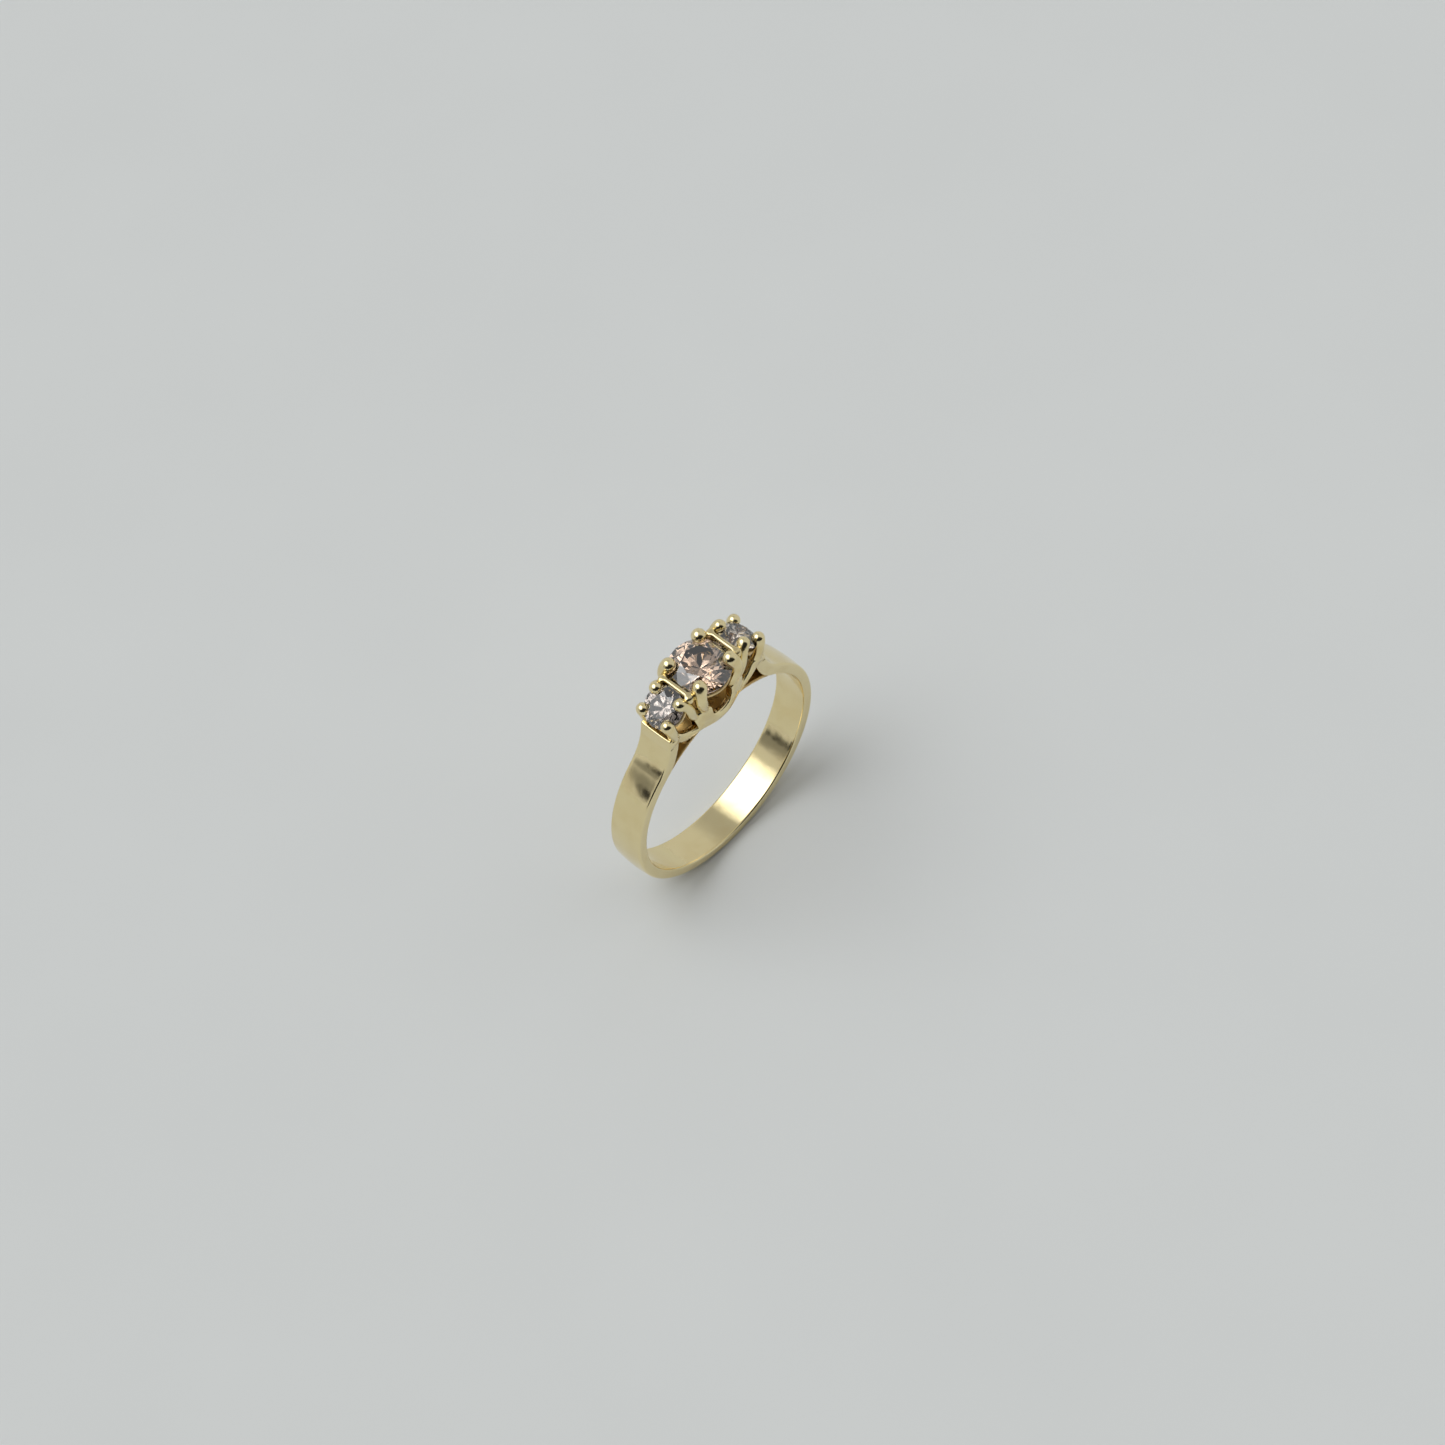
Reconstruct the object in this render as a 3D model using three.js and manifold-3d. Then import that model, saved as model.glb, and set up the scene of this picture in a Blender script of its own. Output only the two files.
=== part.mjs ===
// A three-stone claw ring: a flat band with rising shoulders, a trellis gallery over the
// finger hole, twelve beaded claws and three round brilliants. Millimetres.
// X runs along the row of stones, Y along the finger, +Z from the finger to the stones.
// The origin is the centre of the finger hole, on the finger's axis.

import * as THREE from 'three';
import { mergeVertices } from 'three/addons/utils/BufferGeometryUtils.js';
import { ConvexGeometry } from 'three/addons/geometries/ConvexGeometry.js';
import Module from 'manifold-3d';

const wasm = await Module();
wasm.setup();

// ---- Driving dimensions -------------------------------------------------------------

// Band
const fingerRadius = 8.5;
const bandThickness = 0.92;
const bandWidth = 2.84;
const edgeRounding = 0.14;

// Shoulders: the angles from the top of the ring at which they leave the band's outer and
// inner circles, how far their tips lie above the finger hole, and their thickness there
const shoulderOuterAngle = 43.5;
const shoulderInnerAngle = 37.5;
const shoulderRise = 0.85;
const shoulderTipThickness = 1.05;
const shoulderTipLean = 10;
const shoulderInnerBend = 0.65;

// Stones
const centerDiameter = 4.6;
const sideDiameter = 3.1;
const centerRise = 4.4;
const sideDrop = 0.65;
const sideTilt = 36;
const stoneSpacing = 0.3;
const tableShare = 0.56;
const crownAngle = 34;
const pavilionAngle = 40.9;
const girdleShare = 0.03;
const lowerTipShare = 0.23;

// Rail that closes the finger circle under the head
const railThickness = 0.28;
const railEndAngle = 35;

// Galleries
const galleryThickness = 0.5;
const galleryBulge = 0.55;
const galleryBulgeReach = 3;
const centerScoopRise = 0.9;
const sideScoopRise = 0.6;
const centerPostRise = 2.35;
const outerPostRise = 1.75;
const centerFootInset = 0.14;
const outerFootInset = 0.78;
const innerFootLeanShare = 0.92;

// Gallery's lower edge: how far the lip under the centre stone reaches along X, where its
// rim meets the rail, and how far the sweep to the shoulder bows out
const lipReach = 1.5;
const lipTaper = 0.25;
const rimReach = 2.42;
const sweepBow = 0.35;

// Side scoop: how far its curve bows past the outer claw's foot, and its floor's shape
const scoopBow = 0.55;
const scoopCorner = 0.42;
const scoopFloorDip = 0.04;
const scoopFloorShift = 0.1;
const scoopFloorReach = 0.3;
const neckInset = 0.12;

// Centre scoop: its corner's rise over the floor, and the share of its width that is flat
const scoopFillet = 0.25;
const scoopFlatShare = 0.8;

// End walls of the head
const wallRise = 1.85;
const wallThickness = 0.4;
const stoneOverhang = 0;

// Claws: wire and bead radii, how far each bead's centre lies above the girdle and inside
// its edge, and its angle around the stone from the row of stones
const centerWireRadius = 0.46;
const sideWireRadius = 0.42;
const centerBeadRadius = 0.56;
const sideBeadRadius = 0.48;
const centerBeadHeight = 0.62;
const sideBeadHeight = 0.36;
const outerClawLean = 16;
const centerTipInset = 0.14;
const sideTipInset = 0.1;
const centerTipAngle = 43;
const innerTipAngle = 51;
const outerTipAngle = 53;

// Claws: how far each runs straight out of its foot and into its tip, the slope at which its
// foot splays outwards, and the slope at which its tip hooks over the stone
const centerClawReach = 1.15;
const innerClawReach = 0.95;
const outerClawReach = 0.7;
const centerSplay = 0.25;
const sideSplay = 0.15;
const centerHook = 0.85;
const sideHook = 0.6;

// Bars between the stones: their tops lie barRise above the centre stone's girdle, and they
// widen at both ends into knobs
const barWidth = 0.34;
const barHeight = 0.9;
const barRise = 0.45;
const barEndWidth = 0.86;
const barKnobLength = 0.4;
const barKnobTaper = 0.2;

// Collars
const collarHeight = 0.3;
const collarWall = 0.36;
const centerCollarDrop = 0.5;
const sideCollarDrop = 0.42;

// Clearance left at every soldered or seated joint
const fitGap = 0.02;

// How far a cutting shape runs past the piece that it cuts, and how tall a gallery's strip is
// before its outline is cut
const cutSpare = 0.5;
const stripHeight = 3 * centerRise;

// ---- Places worked out from them ------------------------------------------------------

const radians = THREE.MathUtils.degToRad;
const bandRadius = fingerRadius + bandThickness;
const halfBand = bandWidth / 2;
const centerRadius = centerDiameter / 2;
const sideRadius = sideDiameter / 2;
const centerGirdle = new THREE.Vector3(0, 0, fingerRadius + centerRise);
const tilt = radians(sideTilt);

// The side stone's axis leans outwards, and its inner edge clears the centre stone
const sideAxis = new THREE.Vector3(Math.sin(tilt), 0, Math.cos(tilt));
const sideOutward = new THREE.Vector3(Math.cos(tilt), 0, -Math.sin(tilt));
const sideGirdle = new THREE.Vector3(
  centerRadius + stoneSpacing + sideRadius * Math.cos(tilt),
  0,
  centerGirdle.z - sideDrop,
);

// The head ends just outside the side stones' outer edges
const headEnd = sideGirdle.x + sideRadius * Math.cos(tilt) - stoneOverhang;
const shoulderTop = fingerRadius + shoulderRise;
const railTop = fingerRadius + railThickness;

// A mesh's triangles as a manifold solid
function toSolid(geometry) {
  geometry.deleteAttribute('normal');
  geometry.deleteAttribute('uv');
  const merged = mergeVertices(geometry.index ? geometry.toNonIndexed() : geometry, 1e-4);
  const vertProperties = new Float32Array(merged.attributes.position.array);
  const triVerts = new Uint32Array(merged.index.array);
  return new wasm.Manifold(new wasm.Mesh({ numProp: 3, vertProperties, triVerts }));
}

// A manifold solid's triangles as a mesh geometry
function toGeometry(solid) {
  const mesh = solid.getMesh();
  const geometry = new THREE.BufferGeometry();
  geometry.setAttribute('position', new THREE.BufferAttribute(mesh.vertProperties, 3));
  geometry.setIndex(new THREE.BufferAttribute(mesh.triVerts, 1));
  return geometry;
}

// Points on an arc about the finger axis, angles in degrees from the +X axis
function arcPoints(radius, fromAngle, toAngle, steps) {
  const points = [];
  for (let i = 0; i <= steps; i += 1) {
    const angle = radians(fromAngle + ((toAngle - fromAngle) * i) / steps);
    points.push(new THREE.Vector2(radius * Math.cos(angle), radius * Math.sin(angle)));
  }
  return points;
}

// The same outline on the other side of the ring, in the opposite order
function mirrored(points) {
  return points.map((point) => new THREE.Vector2(-point.x, point.y)).reverse();
}

// An outline in the X-Z plane made into a plate that is centred on y = middle
function plateAlongY(points, thickness, middle, bevel = 0) {
  const geometry = new THREE.ExtrudeGeometry(new THREE.Shape(points), {
    depth: thickness - 2 * bevel,
    bevelEnabled: bevel > 0,
    bevelThickness: bevel,
    bevelSize: bevel,
    bevelOffset: -bevel,
    bevelSegments: 1,
    steps: 1,
  });
  geometry.rotateX(Math.PI / 2);
  geometry.translate(0, middle + thickness / 2 - bevel, 0);
  return geometry;
}

// ---- Materials ------------------------------------------------------------------------

function gold(roughness) {
  return new THREE.MeshStandardMaterial({ color: 0xd2c48f, metalness: 1, roughness });
}

function diamond(color) {
  return new THREE.MeshStandardMaterial({ color, metalness: 0, roughness: 0.03 });
}

const ring = new THREE.Group();

function addPiece(name, geometry, material) {
  const mesh = new THREE.Mesh(geometry, material);
  mesh.name = name;
  ring.add(mesh);
}

// ---- Shank ----------------------------------------------------------------------------

// The shoulder's outer edge, from the band's outer circle up to the shoulder's tip
function shoulderOuterEdge() {
  const start = radians(90 - shoulderOuterAngle);
  const lean = radians(shoulderTipLean);
  const from = new THREE.Vector2(Math.cos(start), Math.sin(start)).multiplyScalar(bandRadius);
  const to = new THREE.Vector2(headEnd, shoulderTop);
  const reach = from.distanceTo(to) / 3;
  const alongBand = new THREE.Vector2(-Math.sin(start), Math.cos(start)).multiplyScalar(reach);
  const alongTip = new THREE.Vector2(-Math.sin(lean), Math.cos(lean)).multiplyScalar(reach);
  const leaving = from.clone().add(alongBand);
  const arriving = to.clone().sub(alongTip);
  return new THREE.CubicBezierCurve(from, leaving, arriving, to).getPoints(8);
}

// The shoulder's inner edge, from the finger hole up to the shoulder's tip
function shoulderInnerEdge() {
  const start = radians(90 - shoulderInnerAngle);
  const lean = radians(shoulderTipLean);
  const from = new THREE.Vector2(Math.cos(start), Math.sin(start)).multiplyScalar(fingerRadius);
  const to = new THREE.Vector2(headEnd - shoulderTipThickness, shoulderTop);
  const bend = new THREE.Vector2(Math.sin(lean), -Math.cos(lean));
  const control = bend.multiplyScalar(from.distanceTo(to) * shoulderInnerBend).add(to);
  return new THREE.QuadraticBezierCurve(from, control, to).getPoints(6);
}

function buildShank() {
  const outerStart = 90 - shoulderOuterAngle;
  const innerStart = 90 - shoulderInnerAngle;
  const outline = [
    ...mirrored(shoulderOuterEdge()).slice(0, -1),
    ...arcPoints(bandRadius, 180 - outerStart, 360 + outerStart, 56),
    ...shoulderOuterEdge().slice(1),
    ...shoulderInnerEdge().reverse().slice(0, -1),
    ...arcPoints(fingerRadius, innerStart, -180 - innerStart, 52),
    ...mirrored(shoulderInnerEdge().reverse()).slice(1),
  ];
  return plateAlongY(outline, bandWidth, 0, edgeRounding);
}

addPiece('shank', buildShank(), gold(0.3));

// ---- Rail under the head ----------------------------------------------------------------

// The rail runs from shoulder to shoulder, and its ends follow the shoulders' inner edges
function buildRail() {
  const start = 90 - railEndAngle;
  const arch = [
    ...arcPoints(railTop, start, 180 - start, 24),
    ...arcPoints(fingerRadius, 180 - start, start, 24),
  ];
  const offset = new THREE.Vector2(-fitGap, -fitGap);
  const edge = shoulderInnerEdge().map((point) => point.add(offset));
  const belowEdge = new THREE.Vector2(edge[0].x, edge[0].y - bandThickness);
  const outside = [
    new THREE.Vector2(bandRadius, shoulderTop),
    new THREE.Vector2(bandRadius, belowEdge.y),
  ];
  const shoulder = [...edge, ...outside, belowEdge];
  const rightCut = toSolid(plateAlongY(shoulder, 2 * bandWidth, 0));
  const leftCut = toSolid(plateAlongY(mirrored(shoulder), 2 * bandWidth, 0));
  return toSolid(plateAlongY(arch, bandWidth, 0)).subtract(rightCut).subtract(leftCut);
}

addPiece('finger_rail', toGeometry(buildRail()), gold(0.35));

// ---- Stones -----------------------------------------------------------------------------

// A round brilliant about its own axis with the girdle at z = 0; grow widens every facet
function brilliant(radius, grow = 0) {
  const size = radius + grow;
  const crownSlope = Math.tan(radians(crownAngle));
  const pavilionSlope = Math.tan(radians(pavilionAngle));
  const halfGirdle = girdleShare * radius;
  const tableRadius = tableShare * size;
  const starRadius = ((1 + tableShare * Math.cos(Math.PI / 8)) / 2) * size;
  const lowerRadius = lowerTipShare * size;
  const points = [new THREE.Vector3(0, 0, -halfGirdle - grow - size * pavilionSlope)];
  const ringPoint = (radiusAt, step, z) => {
    const angle = (step * Math.PI) / 8;
    points.push(new THREE.Vector3(radiusAt * Math.cos(angle), radiusAt * Math.sin(angle), z));
  };
  const facetLean = Math.cos(Math.PI / 8);
  for (let step = 0; step < 16; step += 1) {
    ringPoint(size, step, halfGirdle + grow / 2);
    ringPoint(size, step, -halfGirdle - grow / 2);
    if (step % 2 === 0) {
      ringPoint(tableRadius, step, halfGirdle + grow + (size - tableRadius) * crownSlope);
    } else {
      const starRise = (size - starRadius * facetLean) * crownSlope;
      const lowerDrop = (size - lowerRadius * facetLean) * pavilionSlope;
      ringPoint(starRadius, step, halfGirdle + grow / 2 + starRise);
      ringPoint(lowerRadius, step, -halfGirdle - grow - lowerDrop);
    }
  }
  return new ConvexGeometry(points);
}

// Puts a geometry that was made about a stone's axis at the stone: -1 left, 0 centre, 1 right
function placeAtStone(geometry, side) {
  geometry.rotateY(side * tilt);
  const girdle = side === 0 ? centerGirdle : sideGirdle;
  geometry.translate(side * girdle.x, 0, girdle.z);
  return geometry;
}

const stones = [
  { name: 'left', side: -1, radius: sideRadius, color: 0xb9a79c },
  { name: 'center', side: 0, radius: centerRadius, color: 0xc9a996 },
  { name: 'right', side: 1, radius: sideRadius, color: 0xc7ab9b },
];
for (const stone of stones) {
  const cut = placeAtStone(brilliant(stone.radius), stone.side);
  addPiece(`${stone.name}_stone`, cut, diamond(stone.color));
  stone.cutter = toSolid(placeAtStone(brilliant(stone.radius, fitGap), stone.side));
}
const [leftStone, centerStone, rightStone] = stones;

// ---- Galleries --------------------------------------------------------------------------

// How far the gallery's outer face lies from the ring's mid-plane: it swells under the stone
function galleryFace(x) {
  const share = Math.min(Math.abs(x) / galleryBulgeReach, 1);
  return halfBand + galleryBulge * Math.cos((share * Math.PI) / 2) ** 2;
}

// Feet of the claws on the gallery's posts, in the X-Z plane, for the right half
const centerFoot = new THREE.Vector2(
  centerRadius * Math.SQRT1_2 - centerFootInset,
  fingerRadius + centerPostRise,
);
const innerLean = tilt * innerFootLeanShare;
const innerFoot = new THREE.Vector2(
  centerFoot.x + centerWireRadius + sideWireRadius * Math.cos(innerLean),
  centerFoot.y - sideWireRadius * Math.sin(innerLean),
);
const outerLean = radians(outerClawLean);
const outerFoot = new THREE.Vector2(headEnd - outerFootInset, fingerRadius + outerPostRise);

// The right half of the gallery's outline in the X-Z plane, from the middle out and back
function galleryHalf() {
  const at = (x, z) => new THREE.Vector2(x, z);
  const seatEdge = (foot, lean, wire, way) => at(
    foot.x + way * wire * Math.cos(lean),
    foot.y - way * wire * Math.sin(lean),
  );
  const onRail = (x) => at(x, Math.sqrt((railTop + fitGap) ** 2 - x ** 2));
  const lipAngle = THREE.MathUtils.radToDeg(Math.asin(lipReach / fingerRadius));
  const lip = arcPoints(fingerRadius, 90, 90 - lipAngle, 5);
  const rimEnd = onRail(rimReach);
  const seat = shoulderTop + fitGap;
  const shoulderIn = headEnd - shoulderTipThickness;
  const sweep = new THREE.QuadraticBezierCurve(
    rimEnd,
    at((rimEnd.x + shoulderIn) / 2 + sweepBow, rimEnd.y),
    at(shoulderIn, seat),
  ).getPoints(5);
  const outerIn = seatEdge(outerFoot, outerLean, sideWireRadius, -1);
  const outerOut = seatEdge(outerFoot, outerLean, sideWireRadius, 1);
  const innerIn = seatEdge(innerFoot, innerLean, sideWireRadius, -1);
  const innerOut = seatEdge(innerFoot, innerLean, sideWireRadius, 1);
  const scoopFloor = fingerRadius + sideScoopRise;
  const neck = at(centerFoot.x + neckInset, (scoopFloor + innerOut.y) / 2);
  const sideScoop = new THREE.SplineCurve([
    outerIn,
    at(outerIn.x - scoopBow, scoopFloor + scoopCorner),
    at((outerIn.x + neck.x) / 2 - scoopFloorShift, scoopFloor + scoopFloorDip),
    at(neck.x + scoopFloorReach, scoopFloor + scoopFloorDip),
    neck,
    innerOut,
  ]).getPoints(20);
  const centerIn = at(centerFoot.x - centerWireRadius, centerFoot.y);
  const centerFloor = fingerRadius + centerScoopRise;
  const centerScoop = new THREE.CubicBezierCurve(
    centerIn,
    at(centerIn.x, centerFloor + scoopFillet),
    at(centerIn.x * scoopFlatShare, centerFloor),
    at(0, centerFloor),
  ).getPoints(8);
  return [
    ...lip,
    onRail(lipReach + lipTaper),
    ...sweep,
    at(headEnd, seat),
    outerOut,
    ...sideScoop,
    innerIn,
    ...centerScoop.slice(0, -1),
  ];
}

// The front gallery: the scalloped outline cut out of a strip that follows galleryFace
function buildGallery() {
  const half = galleryHalf();
  const outline = [...mirrored(half).slice(0, -1), ...half];
  const farX = headEnd + cutSpare;
  const outer = [];
  const inner = [];
  const steps = 28;
  for (let i = 0; i <= steps; i += 1) {
    const x = -farX + (2 * farX * i) / steps;
    outer.push(new THREE.Vector2(x, -galleryFace(x)));
    inner.unshift(new THREE.Vector2(x, -galleryFace(x) + galleryThickness));
  }
  const strip = new THREE.ExtrudeGeometry(new THREE.Shape([...outer, ...inner]), {
    depth: stripHeight,
    bevelEnabled: false,
    steps: 1,
  });
  strip.translate(0, 0, fingerRadius - centerRise);
  const railFrom = 90 - shoulderOuterAngle;
  const rail = [
    ...arcPoints(railTop + fitGap, railFrom, 180 - railFrom, 24),
    ...arcPoints(fingerRadius - bandThickness, 180 - railFrom, railFrom, 24),
  ];
  const railRoom = toSolid(plateAlongY(rail, bandWidth + 2 * fitGap, 0));
  const plate = toSolid(plateAlongY(outline, 2 * bandWidth, -bandWidth));
  return plate.intersect(toSolid(strip)).subtract(railRoom);
}

// The same solid on the far side of the ring
function backOf(geometry) {
  const copy = geometry.clone();
  copy.rotateZ(Math.PI);
  return copy;
}

// ---- Claws ------------------------------------------------------------------------------

// A claw for the front right quarter: wire from foot to tip with a bead on its end
function clawSolid(claw, grow = 0) {
  const curve = new THREE.CubicBezierCurve3(
    claw.foot.clone().addScaledVector(claw.footWay, fitGap - grow),
    claw.foot.clone().addScaledVector(claw.footWay, claw.reach),
    claw.tip.clone().addScaledVector(claw.tipWay, -claw.reach),
    claw.tip,
  );
  const section = new THREE.Shape(arcPoints(claw.wire + grow, 0, 324, 9));
  const wire = new THREE.ExtrudeGeometry(section, { extrudePath: curve, steps: 8, bevelEnabled: false });
  const bead = new THREE.SphereGeometry(claw.bead + grow, 12, 8);
  bead.rotateX(Math.PI / 2);
  bead.translate(claw.tip.x, claw.tip.y, claw.tip.z);
  return toSolid(wire).add(toSolid(bead));
}

// The middle of the front gallery's plate at a foot
function footPoint(foot) {
  return new THREE.Vector3(foot.x, -galleryFace(foot.x) + galleryThickness / 2, foot.y);
}

// A point over a side stone: outward along its tilt, towards the front, and up its axis
function overSideStone(outward, forward, rise) {
  const point = sideGirdle.clone().addScaledVector(sideOutward, outward);
  point.addScaledVector(sideAxis, rise);
  point.y = -forward;
  return point;
}

// The direction up a stone's axis, turned by a slope towards that axis from a claw's tip
function hookedWay(tip, girdle, axis, slope) {
  const across = tip.clone().sub(girdle).projectOnPlane(axis).normalize();
  return axis.clone().addScaledVector(across, -slope).normalize();
}

// The direction of a foot: it leans along the row and splays to the front by their slopes
function splayedWay(lean, slope) {
  return new THREE.Vector3(Math.sin(lean), -slope, Math.cos(lean)).normalize();
}

const up = new THREE.Vector3(0, 0, 1);
const centerTipReach = centerRadius - centerTipInset;
const sideTipReach = sideRadius - sideTipInset;
const centerTip = new THREE.Vector3(
  centerTipReach * Math.cos(radians(centerTipAngle)),
  -centerTipReach * Math.sin(radians(centerTipAngle)),
  centerGirdle.z + centerBeadHeight,
);
const innerTip = overSideStone(
  -sideTipReach * Math.cos(radians(innerTipAngle)),
  sideTipReach * Math.sin(radians(innerTipAngle)),
  sideBeadHeight,
);
const outerTip = overSideStone(
  sideTipReach * Math.cos(radians(outerTipAngle)),
  sideTipReach * Math.sin(radians(outerTipAngle)),
  sideBeadHeight,
);
const claws = {
  center_claw: {
    foot: footPoint(centerFoot),
    footWay: splayedWay(Math.atan(centerSplay), centerSplay),
    tip: centerTip,
    tipWay: hookedWay(centerTip, centerGirdle, up, centerHook),
    reach: centerClawReach,
    wire: centerWireRadius,
    bead: centerBeadRadius,
    stone: 'center',
  },
  inner_claw: {
    foot: footPoint(innerFoot),
    footWay: splayedWay(innerLean, sideSplay),
    tip: innerTip,
    tipWay: hookedWay(innerTip, sideGirdle, sideAxis, sideHook),
    reach: innerClawReach,
    wire: sideWireRadius,
    bead: sideBeadRadius,
    stone: 'side',
  },
  outer_claw: {
    foot: footPoint(outerFoot),
    footWay: splayedWay(outerLean, sideSplay),
    tip: outerTip,
    tipWay: hookedWay(outerTip, sideGirdle, sideAxis, sideHook),
    reach: outerClawReach,
    wire: sideWireRadius,
    bead: sideBeadRadius,
    stone: 'side',
  },
};

// The four quarters of the ring, as mirror images of the front right one
const quarters = [
  { name: 'front_right', x: 1, y: 1 },
  { name: 'front_left', x: -1, y: 1 },
  { name: 'back_right', x: 1, y: -1 },
  { name: 'back_left', x: -1, y: -1 },
];

function inQuarter(solid, quarter) {
  const acrossX = quarter.x < 0 ? solid.mirror([1, 0, 0]) : solid;
  return quarter.y < 0 ? acrossX.mirror([0, 1, 0]) : acrossX;
}

const clawRooms = [];
for (const quarter of quarters) {
  const sideStone = quarter.x < 0 ? leftStone : rightStone;
  for (const [name, claw] of Object.entries(claws)) {
    const stone = claw.stone === 'center' ? centerStone : sideStone;
    const solid = inQuarter(clawSolid(claw), quarter).subtract(stone.cutter);
    addPiece(`${name}_${quarter.name}`, toGeometry(solid), gold(0.2));
    clawRooms.push(inQuarter(clawSolid(claw, fitGap), quarter));
  }
}
const allClaws = wasm.Manifold.union(clawRooms);

// The galleries, with room cut for the splayed feet
const frontGallery = toGeometry(buildGallery().subtract(allClaws));
addPiece('front_gallery', frontGallery, gold(0.3));
addPiece('back_gallery', backOf(frontGallery), gold(0.3));

// ---- End walls --------------------------------------------------------------------------

// A low wall between the galleries' ends that carries the shoulder's line up to the stone
function endWallOutline() {
  const seat = shoulderTop + fitGap;
  const top = fingerRadius + wallRise;
  const lean = (top - seat) * Math.tan(radians(shoulderTipLean));
  return [
    new THREE.Vector2(headEnd - wallThickness, seat),
    new THREE.Vector2(headEnd, seat),
    new THREE.Vector2(headEnd - lean, top),
    new THREE.Vector2(headEnd - lean - wallThickness, top),
  ];
}

// An outline as a wall that fills the room between the galleries, clear of the claws
function buildEndWall(outline) {
  const width = 2 * (galleryFace(headEnd) - galleryThickness - fitGap);
  return toSolid(plateAlongY(outline, width, 0)).subtract(allClaws);
}

addPiece('right_end_wall', toGeometry(buildEndWall(endWallOutline())), gold(0.3));
addPiece('left_end_wall', toGeometry(buildEndWall(mirrored(endWallOutline()))), gold(0.3));

// ---- Collars ----------------------------------------------------------------------------

// A ring under a stone whose bore follows the pavilion; grow widens it into the room it needs
function collarRing(stone, grow = 0) {
  const drop = stone.side === 0 ? centerCollarDrop : sideCollarDrop;
  const slope = Math.tan(radians(pavilionAngle));
  const girdle = girdleShare * stone.radius;
  const boreTop = stone.radius - (drop - girdle) / slope + fitGap;
  const boreBottom = boreTop - collarHeight / slope;
  const outside = boreTop + collarWall + grow;
  const top = grow - drop;
  const bottom = -drop - collarHeight - grow;
  const profile = [
    new THREE.Vector2(boreBottom, bottom),
    new THREE.Vector2(outside, bottom),
    new THREE.Vector2(outside, top),
    new THREE.Vector2(boreTop, top),
    new THREE.Vector2(boreBottom, bottom),
  ];
  const lathe = new THREE.LatheGeometry(profile, 32);
  lathe.rotateX(Math.PI / 2);
  return toSolid(placeAtStone(lathe, stone.side));
}

for (const stone of stones) {
  const collar = collarRing(stone).subtract(stone.cutter).subtract(allClaws);
  addPiece(`${stone.name}_collar`, toGeometry(collar), gold(0.35));
}
const allCollars = wasm.Manifold.union(stones.map((stone) => collarRing(stone, fitGap)));

// ---- Bars between the stones --------------------------------------------------------------

// A dog-bone bar across the ring whose ends fit between a side claw and a centre claw
function buildBar(side) {
  const innerClawX = claws.inner_claw.tip.x;
  const centerClawX = claws.center_claw.tip.x;
  const middle = (innerClawX + centerClawX) / 2;
  const endY = Math.abs(claws.center_claw.tip.y);
  const neckY = endY - barKnobLength;
  const knobY = neckY + barKnobTaper;
  const half = barWidth / 2;
  const halfEnd = barEndWidth / 2;
  const corners = [
    [half, -neckY], [half, neckY], [halfEnd, knobY], [halfEnd, endY],
    [-halfEnd, endY], [-halfEnd, knobY], [-half, neckY], [-half, -neckY],
    [-halfEnd, -knobY], [-halfEnd, -endY], [halfEnd, -endY], [halfEnd, -knobY],
  ];
  const plan = new THREE.Shape(corners.map(([x, y]) => new THREE.Vector2(x, y)));
  const bar = new THREE.ExtrudeGeometry(plan, { depth: barHeight, bevelEnabled: false, steps: 1 });
  bar.translate(side * middle, 0, centerGirdle.z + barRise - barHeight);
  const sideStone = side < 0 ? leftStone : rightStone;
  const allStones = centerStone.cutter.add(sideStone.cutter);
  return toSolid(bar).subtract(allClaws).subtract(allStones).subtract(allCollars);
}

addPiece('left_cross_bar', toGeometry(buildBar(-1)), gold(0.25));
addPiece('right_cross_bar', toGeometry(buildBar(1)), gold(0.25));

export default ring;
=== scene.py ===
"""A three-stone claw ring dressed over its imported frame: band, gallery, claws and stones.

Sizes are in millimetres in the row's frame: the origin is the centre of the finger hole,
X runs along the row of stones, Y along the finger and +Z from the finger to the stones.
Every mesh is turned into metres when it is made.
"""

import logging
import math
from dataclasses import dataclass, field
from enum import Enum
from math import comb

import bpy
import numpy as np
from mathutils import Matrix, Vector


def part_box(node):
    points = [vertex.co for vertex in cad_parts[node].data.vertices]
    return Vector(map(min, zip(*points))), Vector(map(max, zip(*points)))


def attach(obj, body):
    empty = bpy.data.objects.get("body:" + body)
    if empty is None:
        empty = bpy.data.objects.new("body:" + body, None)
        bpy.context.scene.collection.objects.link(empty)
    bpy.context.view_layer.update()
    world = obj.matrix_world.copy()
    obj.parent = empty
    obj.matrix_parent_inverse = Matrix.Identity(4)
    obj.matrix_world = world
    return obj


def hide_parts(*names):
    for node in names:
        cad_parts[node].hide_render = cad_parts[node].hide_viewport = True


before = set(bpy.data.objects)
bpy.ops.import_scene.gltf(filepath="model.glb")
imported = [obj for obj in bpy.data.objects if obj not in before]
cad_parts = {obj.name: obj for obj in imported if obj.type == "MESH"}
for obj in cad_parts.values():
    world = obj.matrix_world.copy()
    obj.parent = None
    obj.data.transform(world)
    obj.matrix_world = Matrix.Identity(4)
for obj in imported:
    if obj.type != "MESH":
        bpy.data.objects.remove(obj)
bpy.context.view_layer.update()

MILLIMETRE = 0.001
BODY = "root"

log = logging.getLogger("ring")
Array = np.ndarray


# ---- Curves and small vector tools ------------------------------------------------------


def smooth_step(share: Array) -> Array:
    """Eases from 0 to 1 with level ends: 3 t squared minus 2 t cubed, held outside 0 to 1.

    Args:
        share: Where each value stands between the two ends.

    Returns:
        The eased values.
    """
    held = np.clip(share, 0.0, 1.0)
    return held * held * (3.0 - 2.0 * held)


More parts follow.
